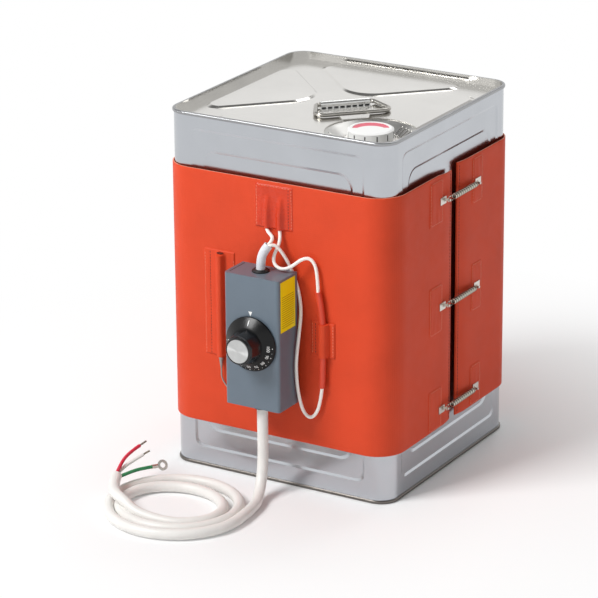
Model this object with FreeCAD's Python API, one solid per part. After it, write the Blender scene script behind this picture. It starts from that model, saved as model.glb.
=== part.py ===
import FreeCAD, Part
import math
import os

# A square tinplate can of 18 litres with a flexible band heater round it, its controller, its springs
# and its power cord. Millimetres. The origin is on the floor under the can's axis, Z is up, the
# controller is on the face towards -Y and the band's opening is on the face towards +X.

os.makedirs("parts", exist_ok=True)
V = FreeCAD.Vector
X_AXIS, Y_AXIS, Z_AXIS = V(1, 0, 0), V(0, 1, 0), V(0, 0, 1)
ROOT_HALF = math.sqrt(0.5)

# The can
CAN_WIDTH = 238.0
CAN_HEIGHT = 349.0
CAN_CORNER = 19.2
SEAM_STEP = 1.4
SEAM_HEIGHT = 3.2
SEAM_ROUND = 1.2
SEAM_THICKNESS = 2.8
TOP_PANEL_DEPTH = 7.5
BOTTOM_PANEL_DEPTH = 2.6
TOP_END_THICKNESS = 1.0
FRAME_STEP = 1.0
FRAME_SLOPE = 2.4
OUTER_FRAME_MARGIN = 26.6
OUTER_FRAME_BOTTOM, OUTER_FRAME_TOP = 18.5, 334.5
INNER_FRAME_MARGIN = 39.1
INNER_FRAME_BOTTOM, INNER_FRAME_TOP = 36.8, 315.0
OUTER_FRAME_CORNER, INNER_FRAME_CORNER = 8.0, 14.0
PETAL_RISE = 1.5
PETAL_SLOPE = 2.5
CHANNEL_HALF_WIDTH = 12.0
PETAL_EDGE_MARGIN = 13.0
PETAL_TIP_ROUND, PETAL_END_ROUND = 30.0, 9.0

# The spout
SPOUT_X, SPOUT_Y = 73.0, -71.5
DISH_RADIUS, DISH_FLOOR_RADIUS, DISH_DEPTH = 42.5, 31.0, 8.0
RING_RADIUS, RING_THICKNESS = 27.0, 1.0
RING_NECK_RADIUS, RING_NECK_HEIGHT = 22.6, 3.5
CAP_RADIUS, CAP_HEIGHT, CAP_CHAMFER = 21.3, 9.5, 1.9
CAP_SLITS, SLIT_WIDTH, SLIT_DEPTH, SLIT_HEIGHT = 12, 1.1, 0.9, 5.6

# The carrying handle
HINGE_OFFSET = 10.5
HINGE_RISE = 3.9
BAIL_WIRE = 4.0
BAIL_NARROW, BAIL_WIDE, BAIL_REACH = 55.0, 75.0, 34.0
BAIL_NARROW_ROUND, BAIL_WIDE_ROUND = 4.5, 7.5
HINGE_CLEARANCE = 0.08
STRAP_LENGTH, STRAP_DEPTH, STRAP_SHEET = 47.4, 16.4, 0.8
STRAP_WALL = 1.1
STRAP_NOTCHES, NOTCH_WIDTH, NOTCH_DEPTH = 8, 2.4, 1.6
STRAP_SEAT_MARGIN = 0.4

# The heater band
BAND_STANDOFF = 3.0
BAND_THICKNESS = 1.6
BAND_CORNER = 28.4
BAND_BOTTOM, BAND_HEIGHT = 47.5, 250.0
OPENING_LOW, OPENING_HIGH = -3.0, 8.5
CLOTH = 1.0

# Patches sewn on the band's front: left edge, right edge, lower edge, upper edge
LEAD_PATCH = (-19.5, 20.5, 252.5, 294.5)
SENSOR_POCKET = (-76.0, -42.4, 117.5, 222.5)
FUSE_LOOP = (39.0, 64.4, 137.5, 171.5)
LEAD_X_LEFT, LEAD_X_RIGHT = -6.3, 7.5
LEAD_CENTRE_OUT = 2.3
LEAD_RIDGE_RADIUS, LEAD_RIDGE_LENGTH = 2.7, 36.0
SENSOR_X, SENSOR_OUT = -57.2, 3.2
SENSOR_RIDGE_RADIUS, SENSOR_RIDGE_TOP = 3.8, 220.0
SENSOR_RADIUS, SENSOR_CLEARANCE = 2.6, 0.15
SENSOR_TOP, SENSOR_BOTTOM, SENSOR_TAPER = 214.0, 118.8, 12.5
FUSE_X, FUSE_OUT = 53.8, 3.9
FUSE_SLEEVE, FUSE_CLEARANCE = 6.0, 0.3
FUSE_LOOP_WALL = 1.1
FUSE_FLAP_LEFT = 57.0

# The springs and what holds them, from the band's opening outwards
SPRING_HEIGHTS = {"upper": 272.0, "middle": 169.0, "lower": 66.0}
SPRING_PATCH_Z = {"upper": (251.0, 296.5), "middle": (144.0, 192.0), "lower": (48.5, 89.5)}
LEFT_PATCH_Y, RIGHT_PATCH_Y = (-49.0, -24.0), (33.0, 54.0)
COIL_LOW, COIL_HIGH = -9.6, 33.0
SPRING_RADIUS, SPRING_WIRE = 2.75, 0.9
SPRING_OUT = 4.1
LEFT_HOOK, RIGHT_HOOK = 12.4, 6.0
TAB_LENGTH, TAB_WIDTH, TAB_SHEET = 11.0, 7.0, 0.8
POST_WIDTH, POST_HEIGHT, POST_LIP = 2.0, 5.6, 1.8
HOOK_PLAY = 0.32

# The controller
CASE_X, CASE_WIDTH = -1.0, 58.0
CASE_BOTTOM, CASE_HEIGHT = 90.0, 128.0
CASE_DEPTH, CASE_STANDOFF = 33.0, 6.5
CASE_SHEET, CASE_BEND, CASE_FIT = 1.2, 3.0, 0.1
FOOT_RADIUS = 10.0
FOOT_MARGIN_TOP, FOOT_MARGIN_BOTTOM = 21.0, 20.0
CAPILLARY_HOLE_X, CAPILLARY_HOLE_Z, CAPILLARY_HOLE = -14.0, 127.5, 3.2
PLATE_WIDTH, PLATE_HEIGHT, PLATE_THICKNESS = 25.5, 48.5, 0.25
PLATE_MARGIN_FRONT, PLATE_MARGIN_TOP = 3.5, 2.5
GROMMET_X, GROMMET_SETBACK = -1.5, 18.0
GROMMET_RADIUS, GROMMET_NECK, GROMMET_RISE = 8.2, 6.0, 2.2
GLAND_X, GLAND_SETBACK = 0.4, 15.0
GLAND_RADIUS, GLAND_NECK, GLAND_DROP, GLAND_NUT = 9.0, 7.2, 4.0, 2.0

# The dial
DIAL_HEIGHT = 153.5
SKIRT_RADIUS, SKIRT_RIM, SKIRT_GAP = 26.25, 1.7, 0.9
CONE_TOP_RADIUS, CONE_RISE = 17.0, 5.6
GRIP_BASE_RADIUS, GRIP_END_RADIUS, GRIP_LENGTH, GRIP_FACES = 16.4, 14.4, 14.6, 10
COLLAR_RADIUS, COLLAR_LENGTH = 12.9, 1.6
DISC_RADIUS, DISC_THICKNESS, DISC_SINK = 11.2, 1.2, 0.9
SHAFT_RADIUS, SHAFT_FIT, SHAFT_PLAY = 3.0, 0.02, 0.05
SHAFT_IN_KNOB, SHAFT_IN_REGULATOR = 15.0, 10.0
REGULATOR_WIDTH, REGULATOR_HEIGHT, REGULATOR_DEPTH = 36.0, 38.0, 19.0
BUSH_RADIUS, BUSH_FIT, BUSH_RISE = 4.9, 0.1, 0.5

# Leads and their sleeves
LEAD_DIAMETER = 3.2
BRAID_DIAMETER, BRAID_BORE = 8.5, 7.4
LEAD_SPREAD = 1.75
# The braided sleeve's bend: distances along it from the grommet, and heights
BRAID_BEND = ((0.0, 216.5), (0.0, 227.0), (2.4, 236.6), (7.5, 242.6))
CAPILLARY_DIAMETER = 1.5

# The power cord
CORD_DIAMETER = 10.4
COIL_HALF_WIDTH, COIL_HALF_DEPTH = 73.2, 68.3
COIL_CENTRE = (-44.8, -224.4)
COIL_HOLE_HALF_WIDTH, COIL_HOLE_HALF_DEPTH = 44.5, 33.5
COIL_HOLE_CENTRE = (-51.2, -220.4)
CORE_DIAMETER, CONDUCTOR_DIAMETER = 3.3, 1.9
TERMINAL_OUTER, TERMINAL_HOLE, TERMINAL_SHEET = 5.2, 2.65, 0.8
TERMINAL_ROLL = 60.0
BARREL_RADIUS, BARREL_LENGTH = 2.0, 6.0

BAND_HALF_WIDTH = CAN_WIDTH / 2 + BAND_STANDOFF
BAND_FRONT = -BAND_HALF_WIDTH
BAND_SIDE = BAND_HALF_WIDTH
LEAD_Y = BAND_FRONT - LEAD_CENTRE_OUT
FUSE_Y = BAND_FRONT - FUSE_OUT
SENSOR_Y = BAND_FRONT - SENSOR_OUT
TOP_PANEL = CAN_HEIGHT - TOP_PANEL_DEPTH
HINGE_HEIGHT = TOP_PANEL + HINGE_RISE
CAN_WALL = CAN_WIDTH / 2 - SEAM_STEP
CASE_REAR = BAND_FRONT - CASE_STANDOFF
CASE_FRONT = CASE_REAR - CASE_DEPTH
CASE_TOP_LEVEL = CASE_BOTTOM + CASE_HEIGHT
FOOT_HEIGHTS = {"upper": CASE_TOP_LEVEL - FOOT_MARGIN_TOP, "lower": CASE_BOTTOM + FOOT_MARGIN_BOTTOM}
PLATE_FRONT = CASE_FRONT + PLATE_MARGIN_FRONT
PLATE_TOP = CASE_TOP_LEVEL - PLATE_MARGIN_TOP
GROMMET_Y = CASE_FRONT + GROMMET_SETBACK
GLAND_Y = CASE_FRONT + GLAND_SETBACK
REGULATOR_REAR = CASE_FRONT + CASE_SHEET + REGULATOR_DEPTH


def save(name, shape):
    """Write one piece under its node name."""
    if not shape.isValid():
        print("not valid:", name)
    if len(shape.Solids) != 1:
        print("solids in", name, len(shape.Solids))
    shape.exportStep("parts/" + name + ".step")


def box(low, high):
    """A box between two opposite corners."""
    size = V(*high) - V(*low)
    return Part.makeBox(size.x, size.y, size.z, V(*low))


def rod(radius, start, end):
    """A cylinder from one point to another."""
    line = end - start
    return Part.makeCylinder(radius, line.Length, start, line)


def corner_arc(before, corner, after, radius):
    """The start, middle and end of the tangent arc that rounds one corner of a route."""
    back = (before - corner).normalize()
    ahead = (after - corner).normalize()
    half_turn = (math.pi - back.getAngle(ahead)) / 2
    reach = radius * math.tan(half_turn)
    inward = (back + ahead).normalize()
    centre = corner + inward * (radius / math.cos(half_turn))
    return corner + back * reach, centre - inward * radius, corner + ahead * reach


def rounded_wire(points, radii, closed):
    """A wire of straight runs joined by tangent arcs, with a radius for each corner that has one."""
    count = len(points)
    stops = []
    for i, point in enumerate(points):
        if closed or 0 < i < count - 1:
            stops.append(corner_arc(points[i - 1], point, points[(i + 1) % count], radii[i]))
        else:
            stops.append((point, None, point))
    edges = []
    for i, (start, middle, end) in enumerate(stops):
        if middle is not None:
            edges.append(Part.Arc(start, middle, end).toShape())
        if closed or i < count - 1:
            following = stops[(i + 1) % count][0]
            if end.distanceToPoint(following) > 1e-6:
                edges.append(Part.LineSegment(end, following).toShape())
    return Part.Wire(edges)


def rounded_rectangle(low, high, radius, level=0.0):
    """A closed wire in a level plane, from its low corner to its high corner."""
    points = [V(low[0], low[1], level), V(high[0], low[1], level)]
    points += [V(high[0], high[1], level), V(low[0], high[1], level)]
    return rounded_wire(points, [radius] * 4, True)


def square_prism(half_width, radius, bottom, top):
    """An upright prism on a square with rounded corners about the can's axis."""
    wire = rounded_rectangle((-half_width, -half_width), (half_width, half_width), radius, bottom)
    return Part.Face(wire).extrude(V(0, 0, top - bottom))


def turned(profile, base, axis):
    """A solid turned from (radius, height) points about an axis through a base point."""
    points = [V(radius, 0, height) for radius, height in profile]
    face = Part.Face(Part.makePolygon(points + points[:1]))
    solid = face.revolve(V(0, 0, 0), Z_AXIS, 360)
    solid.Placement = FreeCAD.Placement(base, FreeCAD.Rotation(Z_AXIS, axis))
    return solid


def swept(wire, diameter, start, direction):
    """A round tube along a wire."""
    section = Part.Wire(Part.Circle(start, direction, diameter / 2).toShape())
    return wire.makePipeShell([section], True, False)


def swept_loop(wire, diameter):
    """A round tube along a closed wire."""
    first = wire.OrderedEdges[0]
    start = first.FirstParameter
    return swept(wire, diameter, first.valueAt(start), first.tangentAt(start))


def route_radii(points):
    """The radius of each arc of a route: as large as its two runs allow."""
    radii = [None] * len(points)
    for i in range(1, len(points) - 1):
        back = points[i - 1] - points[i]
        ahead = points[i + 1] - points[i]
        turn = math.pi - back.getAngle(ahead)
        radii[i] = 0.45 * min(back.Length, ahead.Length) / math.tan(turn / 2)
    return radii


def cord(name, points, diameter):
    """A tube along a cord's route. Prints its bend radii and compares its volume with its length."""
    route = [V(*point) for point in points]
    radii = route_radii(route)
    wire = rounded_wire(route, radii, False)
    tube = swept(wire, diameter, route[0], route[1] - route[0])
    expected = math.pi * diameter ** 2 / 4 * wire.Length
    shown = " ".join("%.1f" % (radius / diameter) for radius in radii[1:-1])
    share = tube.Volume / expected
    print("%s length %.0f radii in diameters %s volume %.3f" % (name, wire.Length, shown, share))
    return tube


# The can

def frame_cut(side_margin, low, high, corner, start):
    """A shallow recess with sloping edges in the can's front wall, one step deeper than its start."""
    half = CAN_WIDTH / 2 - side_margin
    wires = []
    for inset, level in ((0.0, start), (FRAME_SLOPE, start + FRAME_STEP)):
        wire = rounded_rectangle((-half + inset, low + inset), (half - inset, high - inset), corner)
        wire.rotate(V(0, 0, 0), X_AXIS, 90)
        wire.translate(V(0, level - CAN_WALL, 0))
        wires.append(wire)
    return Part.makeLoft(wires, True)


def petal_outline(inset, level):
    """The outline of the raised field at the front of the top panel."""
    tip = (CHANNEL_HALF_WIDTH + inset) / ROOT_HALF
    edge = CAN_WIDTH / 2 - PETAL_EDGE_MARGIN - inset
    points = [V(0, -tip, level), V(tip - edge, -edge, level), V(edge - tip, -edge, level)]
    return rounded_wire(points, [PETAL_TIP_ROUND, PETAL_END_ROUND, PETAL_END_ROUND], True)


def make_can():
    """The closed can: walls, seams, recessed panels, embossed frames, raised fields and spout dish."""
    half = CAN_WIDTH / 2
    body = square_prism(CAN_WALL, CAN_CORNER - SEAM_STEP, SEAM_HEIGHT / 2, CAN_HEIGHT - SEAM_HEIGHT / 2)
    for bottom in (0.0, CAN_HEIGHT - SEAM_HEIGHT):
        seam = square_prism(half, CAN_CORNER, bottom, bottom + SEAM_HEIGHT)
        level_edges = [edge for edge in seam.Edges if edge.BoundBox.ZLength < 0.01]
        body = body.fuse(seam.makeFillet(SEAM_ROUND, level_edges))
    inside = half - SEAM_THICKNESS
    inside_corner = CAN_CORNER - SEAM_THICKNESS
    body = body.cut(square_prism(inside, inside_corner, TOP_PANEL, CAN_HEIGHT + 1))
    body = body.cut(square_prism(inside, inside_corner, -1, BOTTOM_PANEL_DEPTH))
    petal_base = petal_outline(0.0, TOP_PANEL - 0.5)
    petal_crest = petal_outline(PETAL_SLOPE, TOP_PANEL + PETAL_RISE)
    petal = Part.makeLoft([petal_base, petal_crest], True)
    outer = frame_cut(OUTER_FRAME_MARGIN, OUTER_FRAME_BOTTOM, OUTER_FRAME_TOP, OUTER_FRAME_CORNER, 0.0)
    inner = frame_cut(INNER_FRAME_MARGIN, INNER_FRAME_BOTTOM, INNER_FRAME_TOP, INNER_FRAME_CORNER, FRAME_STEP)
    for quarter in range(4):
        raised, first, second = petal.copy(), outer.copy(), inner.copy()
        for piece in (raised, first, second):
            piece.rotate(V(0, 0, 0), Z_AXIS, 90 * quarter)
        body = body.fuse(raised).cut(first).cut(second)
    seat_half = STRAP_LENGTH / 2 + STRAP_SEAT_MARGIN
    seat_depth = STRAP_DEPTH / 2 + STRAP_SEAT_MARGIN
    drop = TOP_PANEL - HINGE_HEIGHT
    body = body.cut(on_hinge(box((-seat_half, -seat_depth, drop), (seat_half, seat_depth, drop + 5))))
    above = DISH_DEPTH + 4
    profile = [(0, 0), (DISH_FLOOR_RADIUS, 0), (DISH_RADIUS, DISH_DEPTH), (DISH_RADIUS, above), (0, above)]
    return body.cut(turned(profile, V(SPOUT_X, SPOUT_Y, TOP_PANEL - DISH_DEPTH), Z_AXIS))


def save_can():
    """The can's walls and bottom, and the top end whose seam and panel close them."""
    can = make_can()
    inside = CAN_WIDTH / 2 - SEAM_THICKNESS
    under = TOP_PANEL - TOP_END_THICKNESS
    end = square_prism(CAN_WIDTH, CAN_CORNER, under, CAN_HEIGHT + 1)
    end = end.fuse(square_prism(inside, CAN_CORNER - SEAM_THICKNESS, under - DISH_DEPTH, under))
    save("can_body", can.cut(end))
    save("can_top", can.common(end))


def make_spout_ring():
    """The crimped metal ring that holds the spout in its dish."""
    floor = V(SPOUT_X, SPOUT_Y, TOP_PANEL - DISH_DEPTH)
    shoulder = RING_NECK_RADIUS - 1.0
    profile = [(0, 0), (RING_RADIUS, 0), (RING_RADIUS, RING_THICKNESS)]
    profile += [(RING_NECK_RADIUS, RING_THICKNESS + 0.6), (RING_NECK_RADIUS, RING_NECK_HEIGHT - 0.8)]
    profile += [(shoulder, RING_NECK_HEIGHT), (0, RING_NECK_HEIGHT)]
    return turned(profile, floor, Z_AXIS)


def make_spout_cap():
    """The crimped plastic cap with its short upright slits."""
    bottom = TOP_PANEL - DISH_DEPTH + RING_NECK_HEIGHT
    top_radius = CAP_RADIUS - CAP_CHAMFER
    well = top_radius - 2.2
    profile = [(0, 0), (CAP_RADIUS, 0), (CAP_RADIUS, CAP_HEIGHT - CAP_CHAMFER * 0.6)]
    profile += [(top_radius, CAP_HEIGHT), (well, CAP_HEIGHT), (well - 0.5, CAP_HEIGHT - 0.5)]
    profile += [(0, CAP_HEIGHT - 0.5)]
    cap = turned(profile, V(SPOUT_X, SPOUT_Y, bottom), Z_AXIS)
    for index in range(CAP_SLITS):
        half = SLIT_WIDTH / 2
        slit = box((CAP_RADIUS - SLIT_DEPTH, -half, 0), (CAP_RADIUS + 1, half, SLIT_HEIGHT))
        slit.rotate(V(0, 0, 0), Z_AXIS, (index + 0.5) * 360 / CAP_SLITS)
        slit.translate(V(SPOUT_X, SPOUT_Y, bottom + 1.2))
        cap = cap.cut(slit)
    return cap


def on_hinge(shape):
    """Move a shape from the handle's own axes (hinge along X, handle towards -Y) to the can's top."""
    shape.rotate(V(0, 0, 0), Z_AXIS, 45)
    shape.translate(V(HINGE_OFFSET, -HINGE_OFFSET, HINGE_HEIGHT))
    return shape


def make_bail():
    """The carrying handle: one closed loop of bent wire."""
    narrow, wide = BAIL_NARROW / 2, BAIL_WIDE / 2
    points = [V(-narrow, 0, 0), V(narrow, 0, 0), V(wide, -BAIL_REACH, 0), V(-wide, -BAIL_REACH, 0)]
    radii = [BAIL_NARROW_ROUND, BAIL_NARROW_ROUND, BAIL_WIDE_ROUND, BAIL_WIDE_ROUND]
    wire = rounded_wire(points, radii, True)
    return on_hinge(swept_loop(wire, BAIL_WIRE))


def make_bail_strap():
    """The pressed strap over the hinge bar, with a notched front edge."""
    half = STRAP_LENGTH / 2
    drop = TOP_PANEL - HINGE_HEIGHT
    bore = BAIL_WIRE / 2 + HINGE_CLEARANCE
    outer = bore + STRAP_WALL
    strap = box((-half, -STRAP_DEPTH / 2, drop), (half, STRAP_DEPTH / 2, drop + STRAP_SHEET))
    strap = strap.fuse(box((-half, -outer, drop), (half, outer, 0)))
    strap = strap.fuse(rod(outer, V(-half, 0, 0), V(half, 0, 0)))
    strap = strap.cut(rod(bore, V(-half - 1, 0, 0), V(half + 1, 0, 0)))
    pitch = STRAP_LENGTH / (STRAP_NOTCHES + 1)
    for index in range(STRAP_NOTCHES):
        middle = (index + 1) * pitch - half
        for side in (-1, 1):
            edge = side * STRAP_DEPTH / 2
            low = (middle - NOTCH_WIDTH / 2, edge - NOTCH_DEPTH, drop - 1)
            high = (middle + NOTCH_WIDTH / 2, edge + NOTCH_DEPTH, 0)
            strap = strap.cut(box(low, high))
    return on_hinge(strap.removeSplitter())


# The heater band and what is sewn on it

def make_heater_band():
    """The heater band: a thin wall round the can, open at one place."""
    top = BAND_BOTTOM + BAND_HEIGHT
    outer = square_prism(BAND_HALF_WIDTH, BAND_CORNER, BAND_BOTTOM, top)
    inner_half = BAND_HALF_WIDTH - BAND_THICKNESS
    inner = square_prism(inner_half, BAND_CORNER - BAND_THICKNESS, BAND_BOTTOM - 1, top + 1)
    opening = box((BAND_SIDE - 20, OPENING_LOW, BAND_BOTTOM - 1), (BAND_SIDE + 1, OPENING_HIGH, top + 1))
    return outer.cut(inner).cut(opening)


def front_patch(edges, thickness=CLOTH):
    """A flat piece of cloth on the band's front face."""
    left, right, low, high = edges
    return box((left, BAND_FRONT - thickness, low), (right, BAND_FRONT, high))


def front_ridge(x, centre, radius, low, high):
    """A half round ridge that stands on the front face, with its centre line at a depth."""
    ridge = rod(radius, V(x, centre, low), V(x, centre, high))
    foot = box((x - radius, centre, low), (x + radius, BAND_FRONT, high))
    skin = box((x - radius - 1, BAND_FRONT, low - 1), (x + radius + 1, BAND_FRONT + 20, high + 1))
    return ridge.fuse(foot).cut(skin)


def make_lead_patch():
    """The patch that covers both leads where they go into the band."""
    patch = front_patch(LEAD_PATCH)
    low = LEAD_PATCH[2]
    for x in (LEAD_X_LEFT, LEAD_X_RIGHT):
        patch = patch.fuse(front_ridge(x, LEAD_Y, LEAD_RIDGE_RADIUS, low, low + LEAD_RIDGE_LENGTH))
    return patch.removeSplitter()


def make_sensor_pocket():
    """The pocket that holds the sensor bulb against the band."""
    low = SENSOR_POCKET[2]
    pocket = front_patch(SENSOR_POCKET)
    pocket = pocket.fuse(front_ridge(SENSOR_X, SENSOR_Y, SENSOR_RIDGE_RADIUS, low, SENSOR_RIDGE_TOP))
    radius = SENSOR_RADIUS + SENSOR_CLEARANCE
    bore = rod(radius, V(SENSOR_X, SENSOR_Y, low - 1), V(SENSOR_X, SENSOR_Y, SENSOR_TOP + 0.3))
    return pocket.cut(bore)


def make_fuse_loop():
    """The sewn loop that holds the overheat fuse's sleeve."""
    left, right, low, high = FUSE_LOOP
    radius = FUSE_SLEEVE / 2 + FUSE_CLEARANCE
    loop = front_patch(FUSE_LOOP)
    loop = loop.fuse(front_patch((FUSE_FLAP_LEFT, right, low + 1, high - 1), CLOTH * 2))
    loop = loop.fuse(front_ridge(FUSE_X, FUSE_Y, radius + FUSE_LOOP_WALL, low, high))
    loop = loop.cut(rod(radius, V(FUSE_X, FUSE_Y, low - 1), V(FUSE_X, FUSE_Y, high + 1)))
    return loop.removeSplitter()


# The springs, their tabs and patches

def make_spring(height):
    """A close wound tension spring with a long hook on the left and a short one on the right."""
    out = BAND_SIDE + SPRING_OUT
    wire = SPRING_WIRE
    mean = SPRING_RADIUS - wire / 2
    turns = int((COIL_HIGH - COIL_LOW) / wire)
    pitch = (COIL_HIGH - COIL_LOW) / turns
    edges = []
    for index in range(turns):
        start = index * pitch
        crest = V(SPRING_RADIUS, 0, start + pitch / 2)
        edges.append(Part.Arc(V(mean, 0, start), crest, V(mean, 0, start + pitch)).toShape())
    length = turns * pitch
    bore = mean - wire / 2
    path = [V(mean, 0, length), V(0, 0, length), V(0, 0, length - wire), V(bore, 0, length - wire)]
    path += [V(bore, 0, wire), V(0, 0, wire), V(0, 0, 0), V(mean, 0, 0)]
    for start, end in zip(path, path[1:]):
        edges.append(Part.LineSegment(start, end).toShape())
    coil = Part.Face(Part.Wire(edges)).revolve(V(0, 0, 0), Z_AXIS, 360)
    coil.Placement = FreeCAD.Placement(V(out, COIL_LOW, height), FreeCAD.Rotation(Z_AXIS, Y_AXIS))
    for base, reach in ((COIL_LOW, -LEFT_HOOK), (COIL_HIGH, RIGHT_HOOK)):
        side = math.copysign(1, reach)
        near = base + side * wire * 0.35
        far = base + reach - side * wire / 2
        points = [V(out, near, height - mean), V(out, near, height + mean)]
        points += [V(out, far, height + mean), V(out, far, height - mean)]
        loop = rounded_wire(points, [mean * 0.6, mean * 0.6, mean * 0.95, mean * 0.95], True)
        coil = coil.fuse(swept_loop(loop, wire))
    return coil


def make_tab(height, post, side):
    """A sheet metal tab on a patch, with a narrow post that a spring hook pulls on."""
    foot = BAND_SIDE + CLOTH
    outer = post + side * TAB_LENGTH
    half_post = POST_WIDTH / 2
    thick = side * TAB_SHEET
    lip = post + side * (TAB_SHEET + POST_LIP)
    plate = box(
        (foot, min(post, outer), height - TAB_WIDTH / 2),
        (foot + TAB_SHEET, max(post, outer), height + TAB_WIDTH / 2))
    upright = box(
        (foot, min(post, post + thick), height - half_post),
        (foot + POST_HEIGHT, max(post, post + thick), height + half_post))
    turned_back = box(
        (foot + POST_HEIGHT - TAB_SHEET, min(post, lip), height - half_post),
        (foot + POST_HEIGHT, max(post, lip), height + half_post))
    return plate.fuse(upright).fuse(turned_back).removeSplitter()


def save_springs():
    """The three springs, with a patch and a tab at each end."""
    ends = {
        "left": (LEFT_PATCH_Y, COIL_LOW - LEFT_HOOK, -1),
        "right": (RIGHT_PATCH_Y, COIL_HIGH + RIGHT_HOOK, 1),
    }
    for place, height in SPRING_HEIGHTS.items():
        save("spring_" + place, make_spring(height))
        low, high = SPRING_PATCH_Z[place]
        for end, (patch, hook, side) in ends.items():
            cloth = box((BAND_SIDE, patch[0], low), (BAND_SIDE + CLOTH, patch[1], high))
            save("patch_%s_%s" % (end, place), cloth)
            post = hook - side * (SPRING_WIRE + HOOK_PLAY + TAB_SHEET)
            save("tab_%s_%s" % (end, place), make_tab(height, post, side))


# The controller

def make_case_cover():
    """The front and both sides of the controller case, folded from one sheet, with a hole for the bush."""
    half = CASE_WIDTH / 2
    low, high = CASE_BOTTOM, CASE_BOTTOM + CASE_HEIGHT
    outer = box((CASE_X - half, CASE_FRONT, low), (CASE_X + half, CASE_REAR, high))
    inner = box(
        (CASE_X - half + CASE_SHEET, CASE_FRONT + CASE_SHEET, low),
        (CASE_X + half - CASE_SHEET, CASE_REAR, high))
    outer = outer.makeFillet(CASE_BEND, upright_edges(outer, CASE_FRONT))
    inner = inner.makeFillet(CASE_BEND - CASE_SHEET, upright_edges(inner, CASE_FRONT + CASE_SHEET))
    cover = outer.cut(inner)
    dial = V(CASE_X, CASE_FRONT, DIAL_HEIGHT)
    return cover.cut(rod(BUSH_RADIUS + BUSH_FIT, dial - Y_AXIS, dial + Y_AXIS * 3))


def upright_edges(shape, y):
    """The upright edges of a box at one depth."""
    chosen = []
    for edge in shape.Edges:
        bounds = edge.BoundBox
        if bounds.ZLength > 1 and abs(bounds.YMin - y) < 0.01 and abs(bounds.YMax - y) < 0.01:
            chosen.append(edge)
    return chosen


def make_case_frame():
    """The top, back and bottom of the controller case, folded from one sheet."""
    half = CASE_WIDTH / 2 - CASE_SHEET - CASE_FIT
    low, high = CASE_BOTTOM, CASE_BOTTOM + CASE_HEIGHT
    front = CASE_FRONT + CASE_SHEET + CASE_FIT
    bend = CASE_BEND - CASE_SHEET
    outer = box((CASE_X - half, front, low), (CASE_X + half, CASE_REAR, high))
    outer = outer.makeFillet(bend, upright_edges(outer, front))
    inner = box(
        (CASE_X - half - 1, front - 1, low + CASE_SHEET),
        (CASE_X + half + 1, CASE_REAR - CASE_SHEET, high - CASE_SHEET))
    frame = outer.cut(inner)
    frame = frame.cut(rod(GROMMET_NECK, V(GROMMET_X, GROMMET_Y, high - 5), V(GROMMET_X, GROMMET_Y, high + 1)))
    frame = frame.cut(rod(GLAND_NECK, V(GLAND_X, GLAND_Y, low - 1), V(GLAND_X, GLAND_Y, low + 5)))
    hole = V(CAPILLARY_HOLE_X, CASE_REAR, CAPILLARY_HOLE_Z)
    return frame.cut(rod(CAPILLARY_HOLE, hole - Y_AXIS * 3, hole + Y_AXIS))


def make_rating_plate():
    """The thin plate on the case's right side."""
    side = CASE_X + CASE_WIDTH / 2
    return box(
        (side, PLATE_FRONT, PLATE_TOP - PLATE_HEIGHT),
        (side + PLATE_THICKNESS, PLATE_FRONT + PLATE_WIDTH, PLATE_TOP))


def make_grommet():
    """The rubber grommet in the case's top."""
    top = CASE_BOTTOM + CASE_HEIGHT
    bore = BRAID_DIAMETER / 2
    under = -CASE_SHEET - 1.6
    profile = [(bore, under), (GROMMET_RADIUS - 0.8, under), (GROMMET_RADIUS - 0.8, -CASE_SHEET)]
    profile += [(GROMMET_NECK, -CASE_SHEET), (GROMMET_NECK, 0), (GROMMET_RADIUS, 0)]
    profile += [(GROMMET_RADIUS, GROMMET_RISE - 1.2), (GROMMET_RADIUS - 1.4, GROMMET_RISE)]
    profile += [(bore, GROMMET_RISE)]
    return turned(profile, V(GROMMET_X, GROMMET_Y, top), Z_AXIS)


def make_cord_gland():
    """The bush in the case's bottom that grips the power cord."""
    bore = CORD_DIAMETER / 2
    profile = [(bore, -GLAND_DROP), (GLAND_RADIUS - 1.0, -GLAND_DROP), (GLAND_RADIUS, -GLAND_DROP + 1.0)]
    profile += [(GLAND_RADIUS, 0), (GLAND_NECK, 0), (GLAND_NECK, CASE_SHEET)]
    profile += [(GLAND_RADIUS - 0.6, CASE_SHEET), (GLAND_RADIUS - 0.6, CASE_SHEET + GLAND_NUT)]
    profile += [(bore, CASE_SHEET + GLAND_NUT)]
    return turned(profile, V(GLAND_X, GLAND_Y, CASE_BOTTOM), Z_AXIS)


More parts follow.
